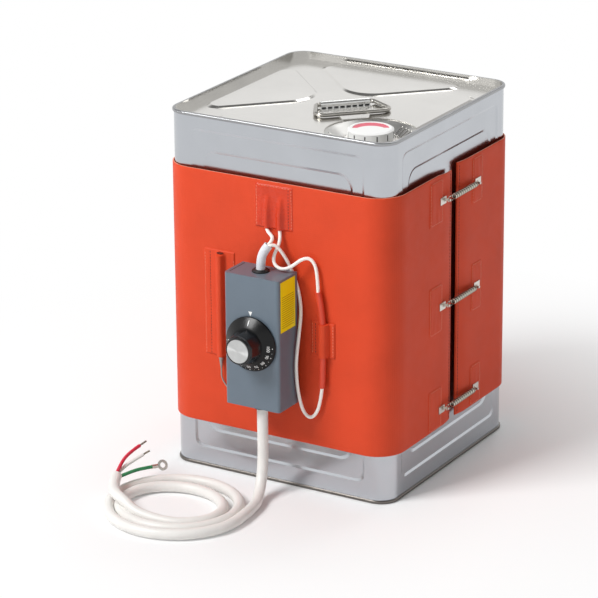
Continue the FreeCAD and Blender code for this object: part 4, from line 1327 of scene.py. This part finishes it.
@dataclass
class Dial:
    """The dial: a cone with numbers and dots, a faceted grip and a turned disc in its end."""

    centre: Point = (-1.0, -162.4, 153.5)
    rim_radius: float = 26.25
    rim: float = 1.7
    cone_radius: float = 17.0
    cone_rise: float = 5.6
    grip_base: float = 16.4
    grip_end: float = 14.4
    grip_length: float = 14.6
    grip_faces: int = 10
    grip_softness: float = 0.9
    sunk: float = 0.3
    collar_radius: float = 12.9
    collar_length: float = 1.6
    disc_radius: float = 11.2
    number_radius: float = 21.0
    number_height: float = 3.1
    number_ratio: float = 1.35
    first_number: int = 20
    number_step: int = 10
    numbers: int = 9
    dot_radius: float = 24.3
    dot_sizes: Pair = (0.42, 0.24)
    line_radius: float = 21.6
    line_stretch: Pair = (0.9, 6.2)
    ink: float = 0.03

    def matrix(self) -> Matrix:
        """Where the dial's own Z axis points out of the case, with its own Y axis up."""
        return shift(self.centre) @ Matrix.Rotation(math.radians(90), 4, "X")

    def cone_place(self, radius: float, clock: float, off: float = 0.0) -> Matrix:
        """A place on the cone with its own Z axis square to the cone and its own Y axis outwards.

        Args:
            radius: The distance from the axis in millimetres.
            clock: The angle in degrees, clockwise from the top.
            off: The height over the surface in millimetres.

        Returns:
            The place as a matrix, in metres.
        """
        slope = math.atan2(self.cone_rise, self.rim_radius - self.cone_radius)
        spot = shift((0, radius, self.rim + (self.rim_radius - radius) * math.tan(slope) + off))
        spin, tilt = Matrix.Rotation(math.radians(-clock), 4, "Z"), Matrix.Rotation(-slope, 4, "X")
        return self.matrix() @ spin @ spot @ tilt

    def skirt(self) -> Piece:
        """Turn the rim and the cone, with small rounded edges."""
        edge, rim, neck, top = self.rim_radius, self.rim, self.cone_radius, self.rim + self.cone_rise
        profile = [(0, 0.0), (edge - 0.4, 0.0), (edge, 0.4), (edge, rim - 0.35), (edge - 0.12, rim - 0.08),
                   (edge - 0.45, rim + 0.22), (neck + 0.35, top - 0.22), (neck, top), (0, top)]
        return DIAL_CONE.dress(turned("dial_skirt", profile, 96, self.matrix()))

    def grip(self) -> Piece:
        """Mould the faceted grip with softened edges."""
        top = self.rim + self.cone_rise
        vertices = []
        for radius, level in ((self.grip_base, top - self.sunk), (self.grip_end, top + self.grip_length)):
            for index in range(self.grip_faces):
                angle = math.tau * (index + 0.5) / self.grip_faces
                spot = Vector((radius * math.cos(angle), radius * math.sin(angle), level)) * MM
                vertices.append(self.matrix() @ spot)
        grip = new_mesh("dial_grip", vertices, tube_faces(0, 2, self.grip_faces))
        soft = grip.modifiers.new("edges", "BEVEL")
        soft.width, soft.segments, soft.limit_method = self.grip_softness * MM, 4, "ANGLE"
        soft.angle_limit = math.radians(20)
        grip.modifiers.new("shading", "WEIGHTED_NORMAL").keep_sharp = True
        return DIAL_GRIP.dress(grip)

    def collar(self) -> Piece:
        """Turn the collar that holds the disc."""
        low = self.rim + self.cone_rise + self.grip_length - self.sunk
        high = low + self.sunk + self.collar_length
        outer, inner = self.collar_radius, self.disc_radius
        profile = [(outer + 0.4, low), (outer + 0.1, low + 0.5), (outer, high - 0.3), (outer - 0.3, high),
                   (inner + 0.25, high), (inner + 0.02, high - 0.25), (inner + 0.02, high - 0.9), (0, high - 0.9)]
        return DIAL_GRIP.dress(turned("dial_collar", profile, 72, self.matrix()))

    def number(self, index: int) -> Piece:
        """Write one of the numbers, which go clockwise over the lower half of the cone."""
        text = bpy.data.curves.new("dial_number", "FONT")
        text.body = str(self.first_number + self.number_step * index)
        text.size = self.number_height * self.number_ratio * MM
        text.align_x, text.align_y = "CENTER", "CENTER"
        text.extrude = self.ink * MM
        text.resolution_u = 3
        number = add_object("dial_number_%d" % index, text)
        number.matrix_world = self.cone_place(self.number_radius, 270.0 - 180.0 * index / (self.numbers - 1), self.ink)
        return number

    def printed(self) -> list[Piece]:
        """Print the numbers, the dots and the pointer line on the cone."""
        pieces = [self.number(index) for index in range(self.numbers)]
        for index in range(2 * self.numbers - 1):
            radius, clock = self.dot_sizes[index % 2], 90.0 + 180.0 * index / (2 * (self.numbers - 1))
            profile = [(0, -0.05), (radius, -0.05), (radius, 0.02), (radius - 0.06, 0.05), (0, 0.05)]
            pieces.append(turned("dial_dot_%d" % index, profile, 16, self.cone_place(self.dot_radius, clock)))
        line = turned("dial_line", [(0, -0.05), (0.5, -0.05), (0.5, 0.04), (0, 0.05)], 16, Matrix.Identity(4))
        line.data.transform(Matrix.Diagonal((*self.line_stretch, 1.0, 1.0)))
        line.data.transform(self.cone_place(self.line_radius, 0.0))
        return [WHITE_PRINT.dress(piece) for piece in pieces + [line]]

    def build(self) -> None:
        """Build the dial so that it turns with its own body."""
        skirt = self.skirt()
        for piece in [skirt, self.grip(), self.collar()] + self.printed():
            ride(piece, Body.DIAL)
        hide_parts("dial_knob")
        dress_nodes({"dial_disc": DIAL_DISC, "dial_shaft": PLAIN_STEEL})
        LOG.info("dial: skirt, grip, collar, disc, %d numbers", self.numbers)


@dataclass
class Controller:
    """The controller case with its pointer, its plate, its rubber bushes and its feet."""

    pointer: Point = (-2.1, -161.5, 184.2)
    pointer_size: Pair = (4.0, 4.6)
    ink: float = 0.05
    gap_x: Pair = (-26.8, -26.0)
    gap_y: Pair = (-157.0, -130.5)
    gap_z: Pair = (217.6, 218.04)

    def print_pointer(self) -> Piece:
        """Print the white triangle that the dial is read against."""
        x, y, z = self.pointer
        width, height = self.pointer_size
        corners = [(x - width / 2, z), (x + width / 2, z), (x, z - height)]
        vertices = metres([(a, y - lift, b) for lift in (-self.ink, self.ink) for a, b in corners])
        return WHITE_PRINT.dress(tidy_mesh(new_mesh("pointer", vertices, tube_faces(0, 2, 3))))

    def cover_gap_shade(self) -> Piece:
        """Paint shadow as a dark prism in the gap where the cover's left side meets the top."""
        outline = rectangle(*self.gap_x, *self.gap_y)
        return DEEP_SHADOW.dress(prisms("cover_gap_shade", [outline], *self.gap_z, Matrix.Identity(4)))

    def build(self) -> None:
        """Dress the case and add what is printed on it and the painted shadow in the gap at its top."""
        dress_nodes({
            "case_cover": CASE_PAINT, "case_frame": CASE_PAINT, "rating_plate": PLATE_FILM,
            "foot_upper": BLACK_RUBBER, "foot_lower": BLACK_RUBBER, "lead_grommet": BLACK_RUBBER,
            "cord_gland": BLACK_RUBBER, "regulator": REGULATOR_BODY, "sensor_bulb": PLAIN_STEEL,
            "capillary": PLAIN_STEEL})
        for piece in (self.print_pointer(), self.cover_gap_shade()):
            ride(piece, Body.HEATER)
        LOG.info("controller: case, pointer, plate, grommet, gland and feet")


# Leads and the power cord

def lay(name: str, route: Sequence[Point], diameter: float, finish: Finish, nodes: Sequence[str]) -> Piece:
    """Lay one round cord in the frame.

    Args:
        name: The piece's name.
        route: Its control points in millimetres.
        diameter: Its diameter in millimetres.
        finish: What it is made of.
        nodes: The frame nodes that it replaces.

    Returns:
        The cord.
    """
    cord = ride(finish.dress(spline_cord(name, metres(route), diameter)), Body.HEATER)
    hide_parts(*nodes)
    return cord


def declare(cord: Piece) -> None:
    """Log a free cord's length.

    Args:
        cord: The cord.
    """
    spline_length(cord)
    LOG.info("%s: %.0f mm", cord.name, spline_length(cord) / MM)


@dataclass
class Leads:
    """The heater's leads, the sleeve they share and the fuse's sleeve."""

    diameter: float = 3.2
    grommet: Pair = (-1.5, -143.5)
    bend: tuple[Pair, ...] = ((0.0, 216.5), (0.0, 227.0), (2.4, 236.6), (7.5, 242.6))
    bend_way: Pair = (0.8, 0.6)
    spread: float = 1.75
    sleeve_diameter: float = 8.5
    sleeve_wall: float = 0.5
    sleeve_sides: int = 28
    fuse_diameter: float = 6.0
    fuse: tuple[Point, ...] = (
        (49.2, -126.6, 201.0), (53.8, -125.9, 178.0), (53.8, -125.9, 132.0), (53.0, -126.6, 108.5))
    left: tuple[Point, ...] = (
        (-6.3, -124.3, 252.5), (-4.4, -125.6, 250.0), (0.6, -128.4, 248.8), (4.5, -131.9, 247.4),
        (5.2, -135.2, 245.3))
    right: tuple[Point, ...] = (
        (7.5, -124.3, 252.5), (9.4, -126.4, 246.5), (9.6, -130.4, 240.0), (7.8, -134.6, 233.4),
        (8.2, -137.4, 226.8), (13.0, -138.4, 222.2), (20.0, -137.8, 221.4), (27.0, -134.6, 224.8),
        (33.4, -130.8, 231.0), (39.8, -127.2, 233.0), (45.4, -125.8, 228.0), (48.4, -126.2, 216.0))
    back: tuple[Point, ...] = (
        (9.8, -136.4, 243.0), (14.4, -133.4, 237.0), (18.6, -129.0, 226.4), (22.0, -126.0, 215.0),
        (27.0, -124.6, 200.0), (31.2, -126.2, 181.0), (31.6, -131.6, 158.0), (30.8, -136.2, 134.0),
        (30.8, -134.8, 111.0), (31.4, -131.0, 94.0), (33.4, -128.0, 81.6), (38.8, -126.2, 75.4),
        (45.0, -125.8, 79.4), (50.4, -126.0, 91.4))

    def strand(self, spread: float) -> list[Point]:
        """The sleeve's own route, or the route of a lead in it, offset sideways."""
        (x, y), (cos, sin) = self.grommet, self.bend_way
        return [(x + cos * along - sin * spread, y + sin * along + cos * spread, z) for along, z in self.bend]

    def lead(self, name: str, route: Sequence[Point], node: str, with_pieces: Sequence[Piece] = ()) -> None:
        """Lay one lead as a free cord from where it leaves the object to where it goes back in.

        Args:
            name: The piece's name.
            route: Its control points in millimetres.
            node: The frame node that it replaces.
            with_pieces: The pieces on it; not used.
        """
        lead = lay(name, route, self.diameter, LEAD_SKIN, [node])
        declare(lead)

    def braided_sleeve(self) -> Piece:
        """Braid the sleeve round both leads, as a tube whose mouth is open."""
        line = spline_cord("sleeve_line", metres(self.strand(0.0)), 1.0)
        path = spline_points(line)
        bpy.data.objects.remove(line)
        sides, outer = self.sleeve_sides, self.sleeve_diameter / 2
        shell = join([tube("braided_sleeve_shell", path, outer * MM, sides),
                      tube("lining", path, (outer - self.sleeve_wall) * MM, sides)])
        work = bmesh.new()
        work.from_mesh(shell.data)
        for cap in [face for face in work.faces if len(face.verts) == sides]:
            work.faces.remove(cap)
        work.verts.ensure_lookup_table()
        count = len(path) * sides
        for first in (0, count - sides):
            for side in range(sides):
                a, b = first + side, first + (side + 1) % sides
                work.faces.new([work.verts[i] for i in (a, b, count + b, count + a)])
        work.to_mesh(shell.data)
        work.free()
        return BRAID.dress(tidy_mesh(shell, 60.0))

    def build(self) -> None:
        """Lay the leads and put their sleeves on them."""
        sleeve = ride(self.braided_sleeve(), Body.HEATER)
        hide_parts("braided_sleeve")
        fuse = lay("fuse_sleeve_tube", self.fuse, self.fuse_diameter, FUSE_TUBE, ["fuse_sleeve"])
        self.lead("lead_left_cord", [*self.left, *self.strand(self.spread)[::-1]], "lead_left", [sleeve])
        self.lead("lead_right_cord", [*self.right, self.fuse[0]], "lead_right")
        self.lead("lead_return_cord", [*self.strand(-self.spread), *self.back, self.fuse[-1]], "lead_return", [fuse])


@dataclass
class PowerCord:
    """The white power cord: down from the gland, round its loops on the floor and up to its bare end."""

    diameter: float = 10.4
    drop: tuple[Point, ...] = (
        (0.4, -146.5, 93.2), (0.4, -146.5, 66.0), (0.8, -146.8, 37.0), (2.4, -151.6, 21.6), (5.8, -160.9, 10.6),
        (10.3, -173.0, 5.2), (16.2, -187.4, 5.2))
    tail: tuple[Point, ...] = (
        (-66.0, -260.5, 8.0), (-83.0, -256.0, 15.7), (-96.5, -249.0, 16.4), (-108.0, -236.0, 17.4),
        (-115.0, -219.6, 19.4))
    turns: Pair = (0.04, 2.2)
    points_per_turn: int = 14
    centre: Point = (-46.75, -219.25, 5.2)
    drift: Pair = (1.0, 2.65)
    reach: Pair = (70.45, 72.25)
    shrink: Pair = (11.5, 16.65)
    core_diameter: float = 3.3
    red: tuple[Point, ...] = (
        (-115.0, -219.5, 21.6), (-119.0, -206.0, 26.4), (-120.2, -190.5, 31.0), (-117.6, -176.0, 33.8))
    white: tuple[Point, ...] = (
        (-116.9, -220.0, 18.3), (-118.2, -207.0, 21.0), (-114.6, -194.0, 25.2), (-109.4, -182.6, 28.8))
    green: tuple[Point, ...] = (
        (-113.4, -218.5, 18.3), (-109.6, -206.5, 19.2), (-105.4, -194.5, 19.4), (-99.6, -183.6, 18.6))
    strand_radius: float = 0.32
    strand_ring: float = 0.62
    outer_strands: int = 6
    strand_steps: int = 12
    strand_twist: float = 1.1
    strand_sunk: float = 1.0

    def loops(self) -> list[Point]:
        """The loops on the floor, each smaller than the last and drifting towards the front."""
        points = []
        first, last = self.turns
        count = round((last - first) * self.points_per_turn)
        for index in range(count + 1):
            turn = first + (last - first) * index / count
            angle = -math.tau * turn
            x, y = (middle - drift * turn for middle, drift in zip(self.centre, self.drift))
            reach_x, reach_y = (reach - shrink * turn for reach, shrink in zip(self.reach, self.shrink))
            points.append((x + reach_x * math.cos(angle), y + reach_y * math.sin(angle), self.centre[2]))
        return points

    def strands(self, name: str, route: Sequence[Point], length: float) -> Piece:
        """Twist bare strands together at a core's end.

        Args:
            name: The piece's name.
            route: The core's control points.
            length: How far the strands stand out, in millimetres.

        Returns:
            The bundle of strands.
        """
        end, before = Vector(route[-1]), Vector(route[-2])
        heading = (end - before).normalized()
        side = heading.orthogonal().normalized()
        other = heading.cross(side)
        parts = []
        for strand in range(self.outer_strands + 1):
            ring = self.strand_ring if strand else 0.0
            path = []
            for step in range(self.strand_steps + 1):
                share = step / self.strand_steps
                angle = math.tau * (strand / self.outer_strands + share * self.strand_twist)
                spot = end + heading * (length * share - self.strand_sunk * (1 - share))
                path.append((spot + (side * math.cos(angle) + other * math.sin(angle)) * ring) * MM)
            parts.append(tube("strand", path, self.strand_radius * MM, 8))
        bundle = join(parts)
        bundle.name = name
        return TINNED_COPPER.dress(bundle)

    def core(self, colour: str, route: Sequence[Point], finish: Finish, far_end: str, on_it: Piece) -> None:
        """Lay one insulated core out of the jacket's end.

        Args:
            colour: Its colour, which its node is named by.
            route: Its control points in millimetres.
            finish: Its insulation.
            far_end: What its far end is; not used.
            on_it: The piece on its end; not used.
        """
        node = "core_" + colour
        core = lay(node + "_skin", route, self.core_diameter, finish, [node])
        declare(core)

    def build(self) -> None:
        """Lay the cord, its cores and what is on their ends."""
        route = [*self.drop, *self.loops(), *self.tail]
        cord = lay("power_cord", route, self.diameter, CORD_JACKET,
                   ["cord_drop", "cord_coil", "cord_tail"])
        declare(cord)
        for colour, core, finish, length in (
                ("red", self.red, CORE_RED, 9.0), ("white", self.white, CORE_WHITE, 7.5)):
            bare = ride(self.strands("strands_" + colour, core, length), Body.HEATER)
            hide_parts("conductor_" + colour)
            self.core(colour, core, finish, "bare", bare)
        dress_nodes({"ring_terminal": BRIGHT_STEEL})
        self.core("green", self.green, CORE_GREEN, "connector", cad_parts["ring_terminal"])


# The studio

@dataclass
class Studio:
    """A pale floor, soft lamps and the camera at the photograph's viewing angle."""

    azimuth: float = 30.905
    elevation: float = 19.844
    roll: float = -0.445
    focal_pixels: float = 3185.3
    picture: int = 598
    sensor: float = 36.0
    position: Point = (1436.1, -2477.5, 1179.8)
    ambient: float = 0.36
    ceiling: float = 0.16
    ceiling_rise: Pair = (0.38, 0.62)
    paper: str = "#f6f6f6"
    paper_fade: Pair = (0.17, 0.55)
    paper_half: float = 9.0
    paper_level: float = -0.0002
    lamp_aim: Point = (0.0, 0.0, 0.2)

    def camera(self) -> None:
        """Place the camera, with no shift and no depth of field."""
        azimuth, elevation, roll = (math.radians(a) for a in (self.azimuth, self.elevation, self.roll))
        back = Vector((math.sin(azimuth) * math.cos(elevation), -math.cos(azimuth) * math.cos(elevation),
                       math.sin(elevation)))
        right = Vector((math.cos(azimuth), math.sin(azimuth), 0))
        up = back.cross(right)
        right, up = right * math.cos(roll) + up * math.sin(roll), up * math.cos(roll) - right * math.sin(roll)
        data = bpy.data.cameras.new("camera")
        data.sensor_width = self.sensor
        data.lens = self.focal_pixels / self.picture * self.sensor
        data.clip_start, data.clip_end = 0.05, 60.0
        camera = add_object("camera", data)
        camera.matrix_world = shift(self.position) @ Matrix((right, up, back)).transposed().to_4x4()
        bpy.context.scene.camera = camera

    def lamp(self, name: str, place: Point, size: float, power: float) -> None:
        """Hang one soft square lamp.

        Args:
            name: The lamp's name.
            place: Where it hangs, in metres.
            size: Its side in metres.
            power: Its power in watts.
        """
        data = bpy.data.lights.new(name, "AREA")
        data.shape, data.size, data.energy = "SQUARE", size, power
        lamp = add_object(name, data)
        lamp.rotation_euler = (Vector(self.lamp_aim) - Vector(place)).to_track_quat("-Z", "Y").to_euler()
        lamp.location = place

    def seen(self, tree: Tree) -> Socket:
        """One where a ray is the camera's own or comes off gloss or through glass, and zero elsewhere."""
        path = add_node(tree, "ShaderNodeLightPath")
        total = path.outputs["Is Camera Ray"]
        for name in ("Is Glossy Ray", "Is Transmission Ray"):
            total = add_node(tree, "ShaderNodeMath", {0: total, 1: path.outputs[name]}, operation="MAXIMUM").outputs[0]
        return total

    def world(self) -> None:
        """Light everything softly, and show a white background."""
        world = bpy.data.worlds.new("studio")
        bpy.context.scene.world = world
        tree = empty_tree(world)
        heading = add_node(tree, "ShaderNodeTexCoord").outputs["Generated"]
        level = add_node(tree, "ShaderNodeSeparateXYZ", {0: heading}).outputs["Z"]
        low, high = self.ceiling_rise
        overhead = add_node(tree, "ShaderNodeMapRange", {
            "Value": level, "From Min": low, "From Max": high, "To Min": 1.0, "To Max": self.ceiling})
        strength = add_node(tree, "ShaderNodeMix", {
            0: self.seen(tree), 2: self.ambient, 3: overhead.outputs[0]}, data_type="FLOAT")
        sky = add_node(tree, "ShaderNodeBackground", {"Color": (1, 1, 1, 1), "Strength": strength.outputs[0]})
        add_node(tree, "ShaderNodeOutputWorld", {"Surface": sky.outputs[0]})

    def floor(self) -> None:
        """Lay a plain pale floor that keeps the object's shadow near it and turns into the white backdrop."""
        half = self.paper_half
        corners = [Vector((x, y, self.paper_level)) for x, y in rectangle(-half, half, -half, half)]
        floor = new_mesh("floor", corners, [(0, 1, 2, 3)])
        material = bpy.data.materials.new("floor_paper")
        tree = empty_tree(material)
        paper = add_node(tree, "ShaderNodeBsdfDiffuse", {"Color": linear(self.paper)})
        backdrop = add_node(tree, "ShaderNodeEmission", {"Color": (1, 1, 1, 1), "Strength": 1.0})
        place = add_node(tree, "ShaderNodeTexCoord").outputs["Object"]
        reach = add_node(tree, "ShaderNodeVectorMath", {0: place}, operation="LENGTH").outputs["Value"]
        near, far = self.paper_fade
        fade = add_node(tree, "ShaderNodeMapRange", {"Value": reach, "From Min": near, "From Max": far})
        share = add_node(tree, "ShaderNodeMath", {0: fade.outputs[0], 1: self.seen(tree)}, operation="MULTIPLY")
        ground = add_node(tree, "ShaderNodeMixShader", {
            0: share.outputs[0], 1: paper.outputs[0], 2: backdrop.outputs[0]})
        add_node(tree, "ShaderNodeOutputMaterial", {"Surface": ground.outputs[0]})
        floor.data.materials.append(material)

    def build(self) -> None:
        """Set up the studio."""
        self.world()
        self.floor()
        self.lamp("key", (-1.2, -2.1, 2.6), 1.3, 96.0)
        self.lamp("back", (0.0, 1.65, 2.7), 1.5, 22.0)
        self.camera()
        bpy.context.scene.view_settings.view_transform = "Standard"
        LOG.info("studio: floor, lamps, world and camera")


def main() -> None:
    """Build every part of the picture, in the order that it goes together."""
    logging.basicConfig(level=logging.INFO, format="%(name)s %(message)s")
    Studio().build()
    PowerCord().build()
    Leads().build()
    Can().build()
    jacket_sizes = Jacket()
    jacket = jacket_sizes.build()
    sewn = FrontPatches().build() + SpringSide().build()
    cut_length = jacket_sizes.outline()[-1][2] * MM
    Controller().build()
    Dial().build()


if __name__ == "__main__":
    main()
